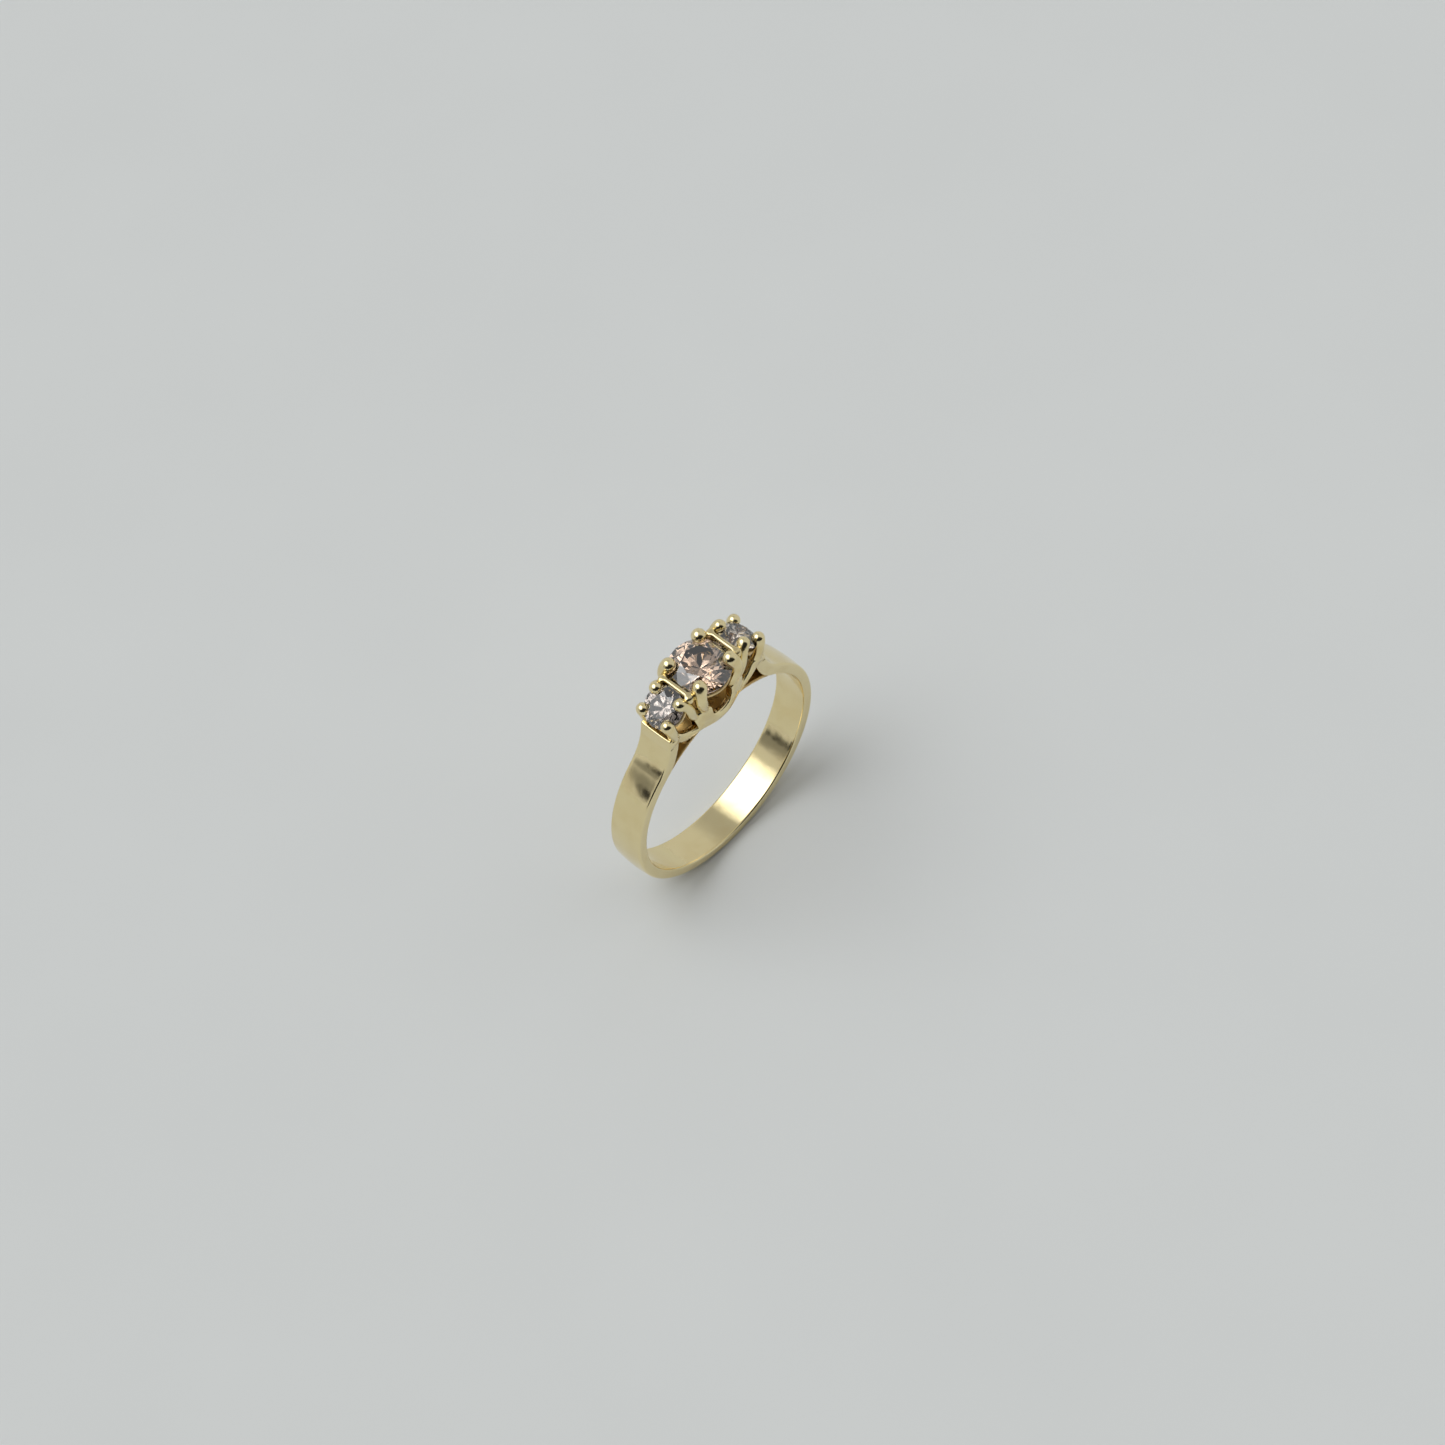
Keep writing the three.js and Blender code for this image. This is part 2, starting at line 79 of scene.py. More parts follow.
def unit(vectors: Array) -> Array:
    """Scales vectors to length one.

    Args:
        vectors: One vector or rows of them.

    Returns:
        The same directions with length one.
    """
    return vectors / np.linalg.norm(vectors, axis=-1, keepdims=True)


def bezier(control: Array, steps: int) -> Array:
    """A Bezier curve: each control point weighted by its Bernstein polynomial.

    Args:
        control: Control points as rows, of any dimension.
        steps: How many spans the curve is cut into.

    Returns:
        steps + 1 points as rows.
    """
    degree = len(control) - 1
    t = np.linspace(0.0, 1.0, steps + 1)[:, None]
    k = np.arange(degree + 1)[None, :]
    binomial = np.array([comb(degree, i) for i in range(degree + 1)])[None, :]
    weights = binomial * t**k * (1.0 - t) ** (degree - k)
    return weights @ np.asarray(control, float)


def arc(radius: float, start: float, end: float, steps: int) -> Array:
    """Points on a circle about the finger's axis.

    Args:
        radius: The circle's radius.
        start: First angle from +X towards +Z, in degrees.
        end: Last angle, in degrees.
        steps: How many spans.

    Returns:
        steps + 1 points in the X-Z plane.
    """
    angle = np.radians(np.linspace(start, end, steps + 1))
    return radius * np.stack([np.cos(angle), np.sin(angle)], 1)


def mirrored(points: Array) -> Array:
    """The same points on the other side of the ring, in the opposite order."""
    return points[::-1] * np.array([-1.0, 1.0])


def spread_evenly(points: Array, count: int) -> Array:
    """Moves points along their own polyline so that they stand at equal distances.

    Args:
        points: The polyline's points as rows.
        count: How many points to give back.

    Returns:
        count points as rows.
    """
    walked = np.concatenate([[0.0], np.cumsum(np.linalg.norm(np.diff(points, axis=0), axis=1))])
    wanted = np.linspace(0.0, walked[-1], count)
    return np.stack([np.interp(wanted, walked, column) for column in points.T], 1)


def through_points(points: Array, steps: int) -> Array:
    """A smooth curve through points: a Catmull-Rom span between each pair.

    Args:
        points: The points to pass, as rows.
        steps: How many spans each stretch between two points is cut into.

    Returns:
        The curve's points as rows.
    """
    first = 2.0 * points[0] - points[1]
    last = 2.0 * points[-1] - points[-2]
    held = np.vstack([first, points, last])
    t = np.linspace(0.0, 1.0, steps, endpoint=False)[None, :, None]
    a, b, c, d = (held[i : len(held) - 3 + i, None, :] for i in range(4))
    spans = 0.5 * (
        2.0 * b + (c - a) * t + (2.0 * a - 5.0 * b + 4.0 * c - d) * t**2 + (3.0 * b - 3.0 * c + d - a) * t**3
    )
    return np.vstack([spans.reshape(-1, points.shape[1]), points[-1:]])


def softened(points: Array, width: int) -> Array:
    """Rounds a curve's corners: each point becomes the mean of those around it.

    Args:
        points: The curve's points as rows.
        width: How many points each mean takes; an odd number.

    Returns:
        As many points, with both ends kept.
    """
    half = width // 2
    before = 2 * points[0] - points[half:0:-1]
    after = 2 * points[-1] - points[-2 : -half - 2 : -1]
    padded = np.vstack([before, points, after])
    sums = np.cumsum(np.vstack([np.zeros((1, points.shape[1])), padded]), axis=0)
    return (sums[width:] - sums[:-width]) / width


def rounded_polygon(corners: Array, radius: float | Array, steps: int = 6) -> Array:
    """A closed outline with each corner softened by a quadratic Bezier arc.

    Args:
        corners: The polygon's corners as rows.
        radius: How far from each corner its arc starts and ends, one value or one per corner.
        steps: How many spans each arc is cut into.

    Returns:
        The outline's points, corner by corner.
    """
    reach = np.broadcast_to(np.asarray(radius, float), (len(corners),))[:, None]
    before = corners + unit(np.roll(corners, 1, axis=0) - corners) * reach
    after = corners + unit(np.roll(corners, -1, axis=0) - corners) * reach
    t = np.linspace(0.0, 1.0, steps + 1)[None, :, None]
    arcs = (1 - t) ** 2 * before[:, None] + 2 * t * (1 - t) * corners[:, None] + t**2 * after[:, None]
    return arcs.reshape(-1, corners.shape[1])


# ---- Closed surfaces on a parameter grid ----------------------------------------------------


@dataclass
class Surface:
    """A closed mesh made of rings of points: ring by ring along it, point by point around it.

    Args:
        rings: Points as (along, around, 3), in millimetres.
        looped: True where the last ring joins the first, as in a hoop.
        poles: Two end points where the ends close to a point; None closes them flat.
        wear: A value for each grid point, 1 on edges that hands rub bright.
        painted_shade: A value for each grid point, 1 where painted shade darkens the colour of faces that lie
            in shade.
    """

    rings: Array
    looped: bool = False
    poles: tuple[Array, Array] | None = None
    wear: Array | None = None
    painted_shade: Array | None = None

    def corner_index(self) -> tuple[Array, Array]:
        """Ring and column numbers of every quad's four corners.

        Returns:
            Two arrays of (quads, 4), not yet wrapped at the ends.
        """
        count, around = self.rings.shape[:2]
        spans = count if self.looped else count - 1
        i, j = np.meshgrid(np.arange(spans), np.arange(around), indexing="ij")
        ring = np.stack([i, i + 1, i + 1, i], -1).reshape(-1, 4)
        column = np.stack([j, j, j + 1, j + 1], -1).reshape(-1, 4)
        return ring, column

    def faces(self) -> list[Array]:
        """The quads, and then what closes the two ends.

        Returns:
            Arrays of vertex numbers, one array for each kind of face.
        """
        count, around = self.rings.shape[:2]
        ring, column = self.corner_index()
        found = [(ring % count) * around + column % around]
        if self.looped:
            return found
        j = np.arange(around)
        k = (j + 1) % around
        last = (count - 1) * around
        if self.poles is None:
            return [*found, j[None, :], (last + j)[None, ::-1].copy()]
        start = np.full(around, count * around)
        end = start + 1
        return [*found, np.stack([j, k, start], 1), np.stack([last + k, last + j, end], 1)]

    def points(self) -> Array:
        """Every vertex as a row, the grid first and then the poles."""
        grid = self.rings.reshape(-1, 3)
        return grid if self.poles is None else np.vstack([grid, *self.poles])

    def surface_uv(self) -> Array:
        """Distances along and around the grid at each quad's corners, in millimetres.

        Returns:
            An array of (quads, 4, 2).
        """
        wrapped = np.concatenate([self.rings, self.rings[:, :1]], axis=1)
        around = np.linalg.norm(np.diff(wrapped, axis=1), axis=2).mean(0)
        columns = np.concatenate([[0.0], np.cumsum(around)])
        closed = np.concatenate([self.rings, self.rings[:1]], axis=0)
        along = np.linalg.norm(np.diff(closed, axis=0), axis=2).mean(1)
        stations = np.concatenate([[0.0], np.cumsum(along)])
        ring, column = self.corner_index()
        return np.stack([stations[ring], columns[column]], -1)


def signed_volume(points: Array, faces: list[Array]) -> float:
    """The volume inside a mesh, positive when its faces point outwards.

    Args:
        points: Vertices as rows.
        faces: Arrays of faces; each face is fanned from its first corner.

    Returns:
        A sixth of the sum of the fans' triple products.
    """
    total = 0.0
    for group in faces:
        corner = points[group]
        a = corner[:, :1]
        total += float(np.sum(np.cross(corner[:, 1:-1], corner[:, 2:]) * a))
    return total / 6.0


@dataclass(frozen=True)
class RoundedLoop:
    """The outline of a rounded box section, as coefficients of its size and its two roundings.

    A point lies at height * up + low * up_low + high * up_high from the lower guide, and at
    depth * back + low * back_low + high * back_high behind the front face.
    """

    up: Array
    up_low: Array
    up_high: Array
    back: Array
    back_low: Array
    back_high: Array

    @staticmethod
    def build(side_steps: int, end_steps: int, corner_steps: int) -> "RoundedLoop":
        """Walks the outline: front face, top, back face, underside.

        Args:
            side_steps: Spans on the front and back faces.
            end_steps: Spans on the top and the underside.
            corner_steps: Spans on each rounded corner.

        Returns:
            The loop's coefficients.
        """
        f = np.linspace(0.0, 1.0, side_steps + 1)[1:-1]
        e = np.linspace(0.0, 1.0, end_steps + 1)[1:-1]
        turn = np.radians(np.linspace(0.0, 90.0, corner_steps + 1))
        s, c = np.sin(turn), np.cos(turn)
        zero_f, zero_e, zero_c = np.zeros_like(f), np.zeros_like(e), np.zeros_like(s)
        one_f, one_e, one_c = zero_f + 1, zero_e + 1, zero_c + 1
        pieces = [
            (f, 1 - f, -f, zero_f, zero_f, zero_f),
            (one_c, zero_c, s - 1, zero_c, zero_c, 1 - c),
            (one_e, zero_e, zero_e, e, zero_e, 1 - 2 * e),
            (one_c, zero_c, c - 1, one_c, zero_c, s - 1),
            (1 - f, f, f - 1, one_f, zero_f, zero_f),
            (zero_c, 1 - s, zero_c, one_c, c - 1, zero_c),
            (zero_e, zero_e, zero_e, 1 - e, 2 * e - 1, zero_e),
            (zero_c, 1 - c, zero_c, zero_c, 1 - s, zero_c),
        ]
        return RoundedLoop(*(np.concatenate(column) for column in zip(*pieces)))

    def place(self, height: Array, depth: Array, low: Array, high: Array) -> tuple[Array, Array]:
        """Sizes the loop at every station along a path.

        Args:
            height: Distance between the guides at each station.
            depth: Distance from the front face to the back one at each station.
            low: Rounding at the lower guide at each station.
            high: Rounding at the upper guide at each station.

        Returns:
            Heights over the lower guide and depths behind the front, as (stations, loop).
        """
        h, d, lo, hi = (np.asarray(v, float)[:, None] for v in (height, depth, low, high))
        rise = h * self.up + lo * self.up_low + hi * self.up_high
        inset = d * self.back + lo * self.back_low + hi * self.back_high
        return rise, inset


def strip(lower: Array, upper: Array, loop: RoundedLoop, depth: float, low: Array, high: Array) -> Array:
    """A rounded box section carried between two guide curves in the X-Z plane.

    Args:
        lower: The lower guide's points.
        upper: The upper guide's points, one for each of the lower guide's.
        loop: The section's outline.
        depth: The strip's size along Y.
        low: Rounding at the lower guide, for each station.
        high: Rounding at the upper guide, for each station.

    Returns:
        Points as (stations, loop, 3), with Y counted from the front face.
    """
    between = upper - lower
    height = np.linalg.norm(between, axis=1)
    rise, inset = loop.place(height, np.full(len(height), depth), low, high)
    plane = lower[:, None] + unit(between)[:, None] * rise[..., None]
    return np.stack([plane[..., 0], inset, plane[..., 1]], -1)


def tube(path: Array, radius: Array, around: int) -> Array:
    """A round section carried along a path, square to it.

    Args:
        path: The path's points as rows.
        radius: The section's radius at each point.
        around: How many points the section has.

    Returns:
        Points as (path, around, 3).
    """
    along = unit(np.gradient(path, axis=0))
    side = unit(np.cross(along, np.array([1.0, 0.0, 0.0])))
    other = np.cross(along, side)
    angle = np.linspace(0.0, 2.0 * np.pi, around, endpoint=False)
    ring = side[:, None] * np.cos(angle)[None, :, None] + other[:, None] * np.sin(angle)[None, :, None]
    return path[:, None] + ring * radius[:, None, None]


# ---- Sizes shared by the sub-assemblies -------------------------------------------------------


class Side(Enum):
    """Which stone or shoulder: left, centre or right along X."""

    LEFT = -1
    CENTER = 0
    RIGHT = 1


class Flank(Enum):
    """Which side of the ring along Y; the value is the sign of the quarter's mirror."""

    FRONT = 1
    BACK = -1


def box_mm(node: str) -> tuple[Array, Array]:
    """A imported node's lowest and highest corners in millimetres."""
    low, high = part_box(node)
    return np.array(low) / MILLIMETRE, np.array(high) / MILLIMETRE


@dataclass(frozen=True)
class Layout:
    """The ring's main sizes and places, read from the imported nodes' boxes where they give them.

    Args:
        band_radius: Outer radius of the band.
        finger_radius: Radius of the finger hole.
        half_band: Half of the band's width.
        center_radius: Radius of the centre stone.
        side_radius: Radius of a side stone.
        center_girdle: Height of the centre stone's girdle.
    """

    band_radius: float
    finger_radius: float
    half_band: float
    center_radius: float
    side_radius: float
    center_girdle: float
    side_drop: float = 0.65
    side_tilt: float = 36.0
    stone_spacing: float = 0.3
    shoulder_rise: float = 0.85
    tip_thickness: float = 1.05
    tip_lean: float = 10.0
    gallery_thickness: float = 0.5
    gallery_bulge: float = 0.55
    bulge_reach: float = 3.0

    @staticmethod
    def from_frame() -> "Layout":
        """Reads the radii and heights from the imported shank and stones.

        Returns:
            The ring's layout.
        """
        band_thickness = 0.92
        crown_share = (1.0 - Brilliant.table_share) * math.tan(math.radians(Brilliant.crown_angle))
        shank_low, shank_high = box_mm("shank")
        stone_low, stone_high = box_mm("center_stone")
        side_low, side_high = box_mm("right_stone")
        center_radius = (stone_high[0] - stone_low[0]) / 2
        crown_height = center_radius * (crown_share + Brilliant.girdle_share)
        return Layout(
            band_radius=-shank_low[2],
            finger_radius=-shank_low[2] - band_thickness,
            half_band=shank_high[1],
            center_radius=center_radius,
            side_radius=(side_high[1] - side_low[1]) / 2,
            center_girdle=stone_high[2] - crown_height,
        )

    @property
    def tilt(self) -> float:
        """The side stones' lean in radians."""
        return math.radians(self.side_tilt)

    @property
    def side_axis(self) -> Array:
        """Direction of the right stone's axis, from culet to table."""
        return np.array([math.sin(self.tilt), 0.0, math.cos(self.tilt)])

    @property
    def side_outward(self) -> Array:
        """Direction across the right stone, away from the centre stone."""
        return np.array([math.cos(self.tilt), 0.0, -math.sin(self.tilt)])

    @property
    def side_center(self) -> Array:
        """Middle of the right stone's girdle."""
        reach = self.side_radius * math.cos(self.tilt)
        x = self.center_radius + self.stone_spacing + reach
        return np.array([x, 0.0, self.center_girdle - self.side_drop])

    @property
    def head_end(self) -> float:
        """How far the head reaches along X."""
        return self.side_center[0] + self.side_radius * math.cos(self.tilt)

    @property
    def shoulder_top(self) -> float:
        """Height of the shoulders' tips."""
        return self.finger_radius + self.shoulder_rise

    def gallery_face(self, x: Array) -> Array:
        """Distance of the gallery's outer face from mid-plane: level, and swelling as a squared cosine.

        Args:
            x: Places along the row of stones.

        Returns:
            The face's distance at each place.
        """
        share = np.minimum(np.abs(x) / self.bulge_reach, 1.0)
        return self.half_band + self.gallery_bulge * np.cos(share * np.pi / 2.0) ** 2


# ---- Stones -------------------------------------------------------------------------------------


@dataclass(frozen=True)
class Brilliant:
    """A round brilliant cut about its own axis, with its girdle at height 0.

    Every facet lies on one plane. Girdle points are where those planes meet a round cylinder,
    so the girdle is scalloped as on a cut stone.

    Args:
        radius: The girdle's radius.
    """

    radius: float
    table_share = 0.56
    crown_angle = 34.0
    pavilion_angle = 40.9
    girdle_share = 0.03
    lower_tip_share = 0.23
    spans_per_facet = 5

    def profile(self, reach: Array, slope: float) -> Array:
        """Height over the girdle's edge of a main facet at some distance along its own direction."""
        return (self.radius - reach) * slope

    def facets(self) -> list[Array]:
        """Corners of every facet as closed polygons, worked out for all eight sectors at once.

        Returns:
            One array of (facets, corners, 3) for each kind of facet.
        """
        r = self.radius
        eighth = np.arange(8) * np.pi / 4
        between = eighth + np.pi / 8
        edge = self.girdle_share * r
        lean = math.cos(math.pi / 8)
        crown = math.tan(math.radians(self.crown_angle))
        pavilion = math.tan(math.radians(self.pavilion_angle))
        star_share = (1 + self.table_share * lean) / 2

        def ring(share: float, angle: Array, height: float | Array) -> Array:
            """Points at a share of the radius, at these angles and heights."""
            height = np.broadcast_to(height, angle.shape)
            return np.stack([share * r * np.cos(angle), share * r * np.sin(angle), height], -1)

        table = ring(self.table_share, eighth, edge + self.profile(self.table_share * r, crown))
        star = ring(star_share, between, edge + self.profile(star_share * r * lean, crown))
        lower_drop = self.profile(self.lower_tip_share * r * lean, pavilion)
        lower = ring(self.lower_tip_share, between, -edge - lower_drop)
        culet = np.array([0.0, 0.0, -edge - r * pavilion])

        before_star, after_table = np.roll(star, 1, axis=0), np.roll(table, -1, axis=0)
        before_lower = np.roll(lower, 1, axis=0)
        top_main = ring(1.0, eighth, edge)
        low_main = ring(1.0, eighth, -edge)
        found = [
            table[None],
            np.stack([table, star, after_table], 1),
            np.stack([table, before_star, top_main, star], 1),
            np.stack([np.broadcast_to(culet, (8, 3)), lower, low_main, before_lower], 1),
        ]
        rims = {}
        for name, tip, level in (("top", star, edge), ("low", lower, -edge)):
            for turn in (-1, 1):
                start = between + turn * np.pi / 8
                a, b = ring(1.0, start, level), ring(1.0, between, level)
                normal = np.cross(a - tip, b - tip)
                share = np.linspace(0.0, 1.0, self.spans_per_facet + 1)[None, :]
                angle = start[:, None] + (between - start)[:, None] * share
                x, y = r * np.cos(angle), r * np.sin(angle)
                run = normal[:, :1] * (x - tip[:, :1]) + normal[:, 1:2] * (y - tip[:, 1:2])
                z = tip[:, 2:3] - run / normal[:, 2:3]
                rim = np.stack([x, y, z], -1)
                rims[name, turn] = rim
                found.append(np.concatenate([tip[:, None], rim], 1))
        for turn in (-1, 1):
            top, low = rims["top", turn], rims["low", turn]
            found.append(np.stack([top[:, :-1], low[:, :-1], low[:, 1:], top[:, 1:]], 2).reshape(-1, 4, 3))
        return [self.outward(group) for group in found]

    @staticmethod
    def outward(group: Array) -> Array:
        """Turns each facet's corners so that its normal points away from the stone's middle.

        Args:
            group: Facets as (facets, corners, 3).

        Returns:
            The same facets, each in an outward order.
        """
        normal = np.cross(group[:, 1] - group[:, 0], group[:, 2] - group[:, 0])
        inward = np.sum(normal * group.mean(1), axis=1) < 0
        return np.where(inward[:, None, None], group[:, ::-1], group)


@dataclass(frozen=True)
class SetStone:
    """A brilliant at its place in the ring.

    Args:
        side: Left, centre or right.
        layout: The ring's sizes.
    """

    side: Side
    layout: Layout

    @property
    def brilliant(self) -> Brilliant:
        """The cut stone about its own axis."""
        is_center = self.side is Side.CENTER
        return Brilliant(self.layout.center_radius if is_center else self.layout.side_radius)

    def place(self, points: Array) -> Array:
        """Turns and moves points from the stone's own frame to the ring's.

        Args:
            points: Points in the stone's frame, in an array whose last axis is 3 long.

        Returns:
            The points in the ring's frame.
        """
        lean = self.side.value * self.layout.tilt
        c, s = math.cos(lean), math.sin(lean)
        turn = np.array([[c, 0.0, s], [0.0, 1.0, 0.0], [-s, 0.0, c]])
        middle = self.layout.side_center * np.array([self.side.value, 0.0, 1.0])
        if self.side is Side.CENTER:
            middle = np.array([0.0, 0.0, self.layout.center_girdle])
        return points @ turn.T + middle

    def planes(self) -> tuple[Array, Array]:
        """The facets' planes in the ring's frame.

        Returns:
            Outward normals as rows, and each plane's distance from the origin.
        """
        corners = np.concatenate([self.place(group[:, :3]) for group in self.brilliant.facets()])
        normal = np.cross(corners[:, 1] - corners[:, 0], corners[:, 2] - corners[:, 0])
        normal = unit(normal)
        return normal, np.sum(normal * corners[:, 0], axis=1)

    def seat(self, points: Array, gap: float) -> Array:
        """Notches metal round the stone: points inside it move out through the nearest facet.

        A point's depth is the largest of its distances to the facets' planes. Where that is
        less than the gap, the point moves along that facet's normal until it equals the gap.

        Args:
            points: Points in the ring's frame, in an array whose last axis is 3 long.
            gap: The clearance left to the stone.

        Returns:
            The points, moved where they were too near.
        """
        normal, offset = self.planes()
        distance = points @ normal.T - offset
        nearest = np.argmax(distance, axis=-1)
        depth = np.take_along_axis(distance, nearest[..., None], -1)
        return points + normal[nearest] * np.maximum(gap - depth, 0.0)


# ---- Materials --------------------------------------------------------------------------------


def new_group(name: str, inputs: dict[str, float], outputs: list[str]) -> bpy.types.ShaderNodeTree:
    """Makes an empty shader node group with a Vector input and named values.

    Args:
        name: The group's name.
        inputs: Names of float inputs and their usual values.
        outputs: Names of float outputs.

    Returns:
        The node group.
    """
    group = bpy.data.node_groups.new(name, "ShaderNodeTree")
    group.interface.new_socket("Vector", in_out="INPUT", socket_type="NodeSocketVector")
    for title, value in inputs.items():
        socket = group.interface.new_socket(title, in_out="INPUT", socket_type="NodeSocketFloat")
        socket.default_value = value
    for title in outputs:
        group.interface.new_socket(title, in_out="OUTPUT", socket_type="NodeSocketFloat")
    return group


@dataclass
class Wiring:
    """A short way to add and join nodes in one tree.

    Args:
        tree: The node tree that is filled.
    """

    tree: bpy.types.NodeTree

    def add(self, kind: str, **settings: object) -> bpy.types.Node:
        """Adds a node and sets its options.

        Args:
            kind: The node's type name.
            settings: Options by attribute name.

        Returns:
            The new node.
        """
        node = self.tree.nodes.new(kind)
        for name, value in settings.items():
            setattr(node, name, value)
        return node

    def join(self, source: bpy.types.NodeSocket, target: bpy.types.NodeSocket) -> None:
        """Links an output to an input."""
        self.tree.links.new(source, target)

    def math(self, operation: str, first: object, second: object = 0.0) -> bpy.types.NodeSocket:
        """Adds a Math node.

        Args:
            operation: The operation's name.
            first: A socket or a number.
            second: A socket or a number.

        Returns:
            The result's socket.
        """
        node = self.add("ShaderNodeMath", operation=operation)
        for slot, value in zip(node.inputs, (first, second)):
            if isinstance(value, (int, float)):
                slot.default_value = value
            else:
                self.join(value, slot)
        return node.outputs[0]

    def blend(self, factor: bpy.types.NodeSocket, first: object, second: tuple) -> bpy.types.NodeSocket:
        """Mixes two colours.

        Args:
            factor: The socket that says how much of the second colour shows.
            first: A colour, or a socket that gives one.
            second: The other colour.

        Returns:
            The result's socket.
        """
        node = self.add("ShaderNodeMix", data_type="RGBA")
        if isinstance(first, tuple):
            node.inputs["A"].default_value = (*first, 1.0)
        else:
            self.join(first, node.inputs["A"])
        node.inputs["B"].default_value = (*second, 1.0)
        self.join(factor, node.inputs["Factor"])
        return node.outputs["Result"]

    def place_in_millimetres(self) -> bpy.types.NodeSocket:
        """The point on the piece in its own coordinates, in millimetres."""
        place = self.add("ShaderNodeTexCoord")
        scaled = self.add("ShaderNodeMapping")
        scaled.inputs["Scale"].default_value = (1 / MILLIMETRE,) * 3
        self.join(place.outputs["Object"], scaled.inputs["Vector"])
        return scaled.outputs[0]

    def bump(self, height: bpy.types.NodeSocket, depth: float) -> bpy.types.Node:
        """Adds a Bump node at full strength.

        Args:
            height: The socket that carries the relief.
            depth: How deep the relief is, in millimetres.

        Returns:
            The new node.
        """
        node = self.add("ShaderNodeBump")
        node.inputs["Strength"].default_value = 1.0
        node.inputs["Distance"].default_value = depth * MILLIMETRE
        self.join(height, node.inputs["Height"])
        return node

    def remap(self, value: bpy.types.NodeSocket, low: float, high: float, start: float, end: float) -> object:
        """Maps a range of values to another and holds it there.

        Args:
            value: The socket to read.
            low: The value that becomes start.
            high: The value that becomes end.
            start: Result at low.
            end: Result at high.

        Returns:
            The result's socket.
        """
        node = self.add("ShaderNodeMapRange")
        self.join(value, node.inputs["Value"])
        for name, number in (("From Min", low), ("From Max", high), ("To Min", start), ("To Max", end)):
            node.inputs[name].default_value = number
        return node.outputs["Result"]


def start_material(name: str) -> tuple[bpy.types.Material, Wiring, bpy.types.Node]:
    """Makes a material with an empty tree around its shader.

    Args:
        name: The material's name.

    Returns:
        The material, its wiring and its shader node.
    """
    material = bpy.data.materials.new(name)
    material.use_nodes = True
    return material, Wiring(material.node_tree), material.node_tree.nodes["Principled BSDF"]


def build_scratch_group() -> bpy.types.ShaderNodeTree:
    """Fine lines that run along the first coordinate, as a buffing wheel leaves them.

    Returns:
        A group whose Height carries the lines and whose Mask says where they are dense.
    """
    usual = {"Stretch": 9.0, "Density": 14.0, "Patch Size": 0.5}
    group = new_group("buffed_lines", usual, ["Height", "Mask"])
    wire = Wiring(group)
    source = wire.add("NodeGroupInput")
    sink = wire.add("NodeGroupOutput")
    squeeze = wire.add("ShaderNodeCombineXYZ")
    shrink = wire.math("DIVIDE", 1.0, source.outputs["Stretch"])
    wire.join(shrink, squeeze.inputs[0])
    squeeze.inputs[1].default_value = 1.0
    squeeze.inputs[2].default_value = 1.0
    scaled = wire.add("ShaderNodeVectorMath", operation="MULTIPLY")
    wire.join(source.outputs["Vector"], scaled.inputs[0])
    wire.join(squeeze.outputs[0], scaled.inputs[1])
    lines = wire.add("ShaderNodeTexNoise")
    lines.inputs["Detail"].default_value = 3.0
    lines.inputs["Roughness"].default_value = 0.65
    wire.join(scaled.outputs[0], lines.inputs["Vector"])
    wire.join(source.outputs["Density"], lines.inputs["Scale"])
    patches = wire.add("ShaderNodeTexNoise")
    patches.inputs["Detail"].default_value = 2.0
    wire.join(source.outputs["Vector"], patches.inputs["Vector"])
    wire.join(source.outputs["Patch Size"], patches.inputs["Scale"])
    dense = wire.remap(patches.outputs["Fac"], 0.38, 0.62, 0.25, 1.0)
    wire.join(wire.math("MULTIPLY", lines.outputs["Fac"], dense), sink.inputs["Height"])
    wire.join(dense, sink.inputs["Mask"])
    return group


def build_polish_group() -> bpy.types.ShaderNodeTree:
    """The soft unevenness that hand polishing leaves: broad waves and a few fine pits.

    Returns:
        A group whose Height carries the waves and pits and whose Mask varies the shine.
    """
    usual = {"Wave Size": 1.1, "Pit Size": 9.0, "Pit Depth": 0.25}
    group = new_group("hand_polish", usual, ["Height", "Mask"])
    wire = Wiring(group)
    source = wire.add("NodeGroupInput")
    sink = wire.add("NodeGroupOutput")
    waves = wire.add("ShaderNodeTexNoise")
    waves.inputs["Detail"].default_value = 1.5
    wire.join(source.outputs["Vector"], waves.inputs["Vector"])
    wire.join(source.outputs["Wave Size"], waves.inputs["Scale"])
    pits = wire.add("ShaderNodeTexVoronoi")
    wire.join(source.outputs["Vector"], pits.inputs["Vector"])
    wire.join(source.outputs["Pit Size"], pits.inputs["Scale"])
    hollow = wire.remap(pits.outputs["Distance"], 0.0, 0.16, -1.0, 0.0)
    pitted = wire.math("MULTIPLY", hollow, source.outputs["Pit Depth"])
    wire.join(wire.math("ADD", waves.outputs["Fac"], pitted), sink.inputs["Height"])
    wire.join(wire.remap(waves.outputs["Fac"], 0.35, 0.65, 0.0, 1.0), sink.inputs["Mask"])
    return group


@dataclass
class Workshop:
    """Holds the node groups that the finishes share, each built once."""

    groups: dict[str, bpy.types.ShaderNodeTree] = field(default_factory=dict)

    def group(self, name: str) -> bpy.types.ShaderNodeTree:
        """Gives a shared group, and builds it the first time.

        Args:
            name: buffed_lines or hand_polish.

        Returns:
            The node group.
        """
        builders = {"buffed_lines": build_scratch_group, "hand_polish": build_polish_group}
        if name not in self.groups:
            self.groups[name] = builders[name]()
        return self.groups[name]


WORKSHOP = Workshop()


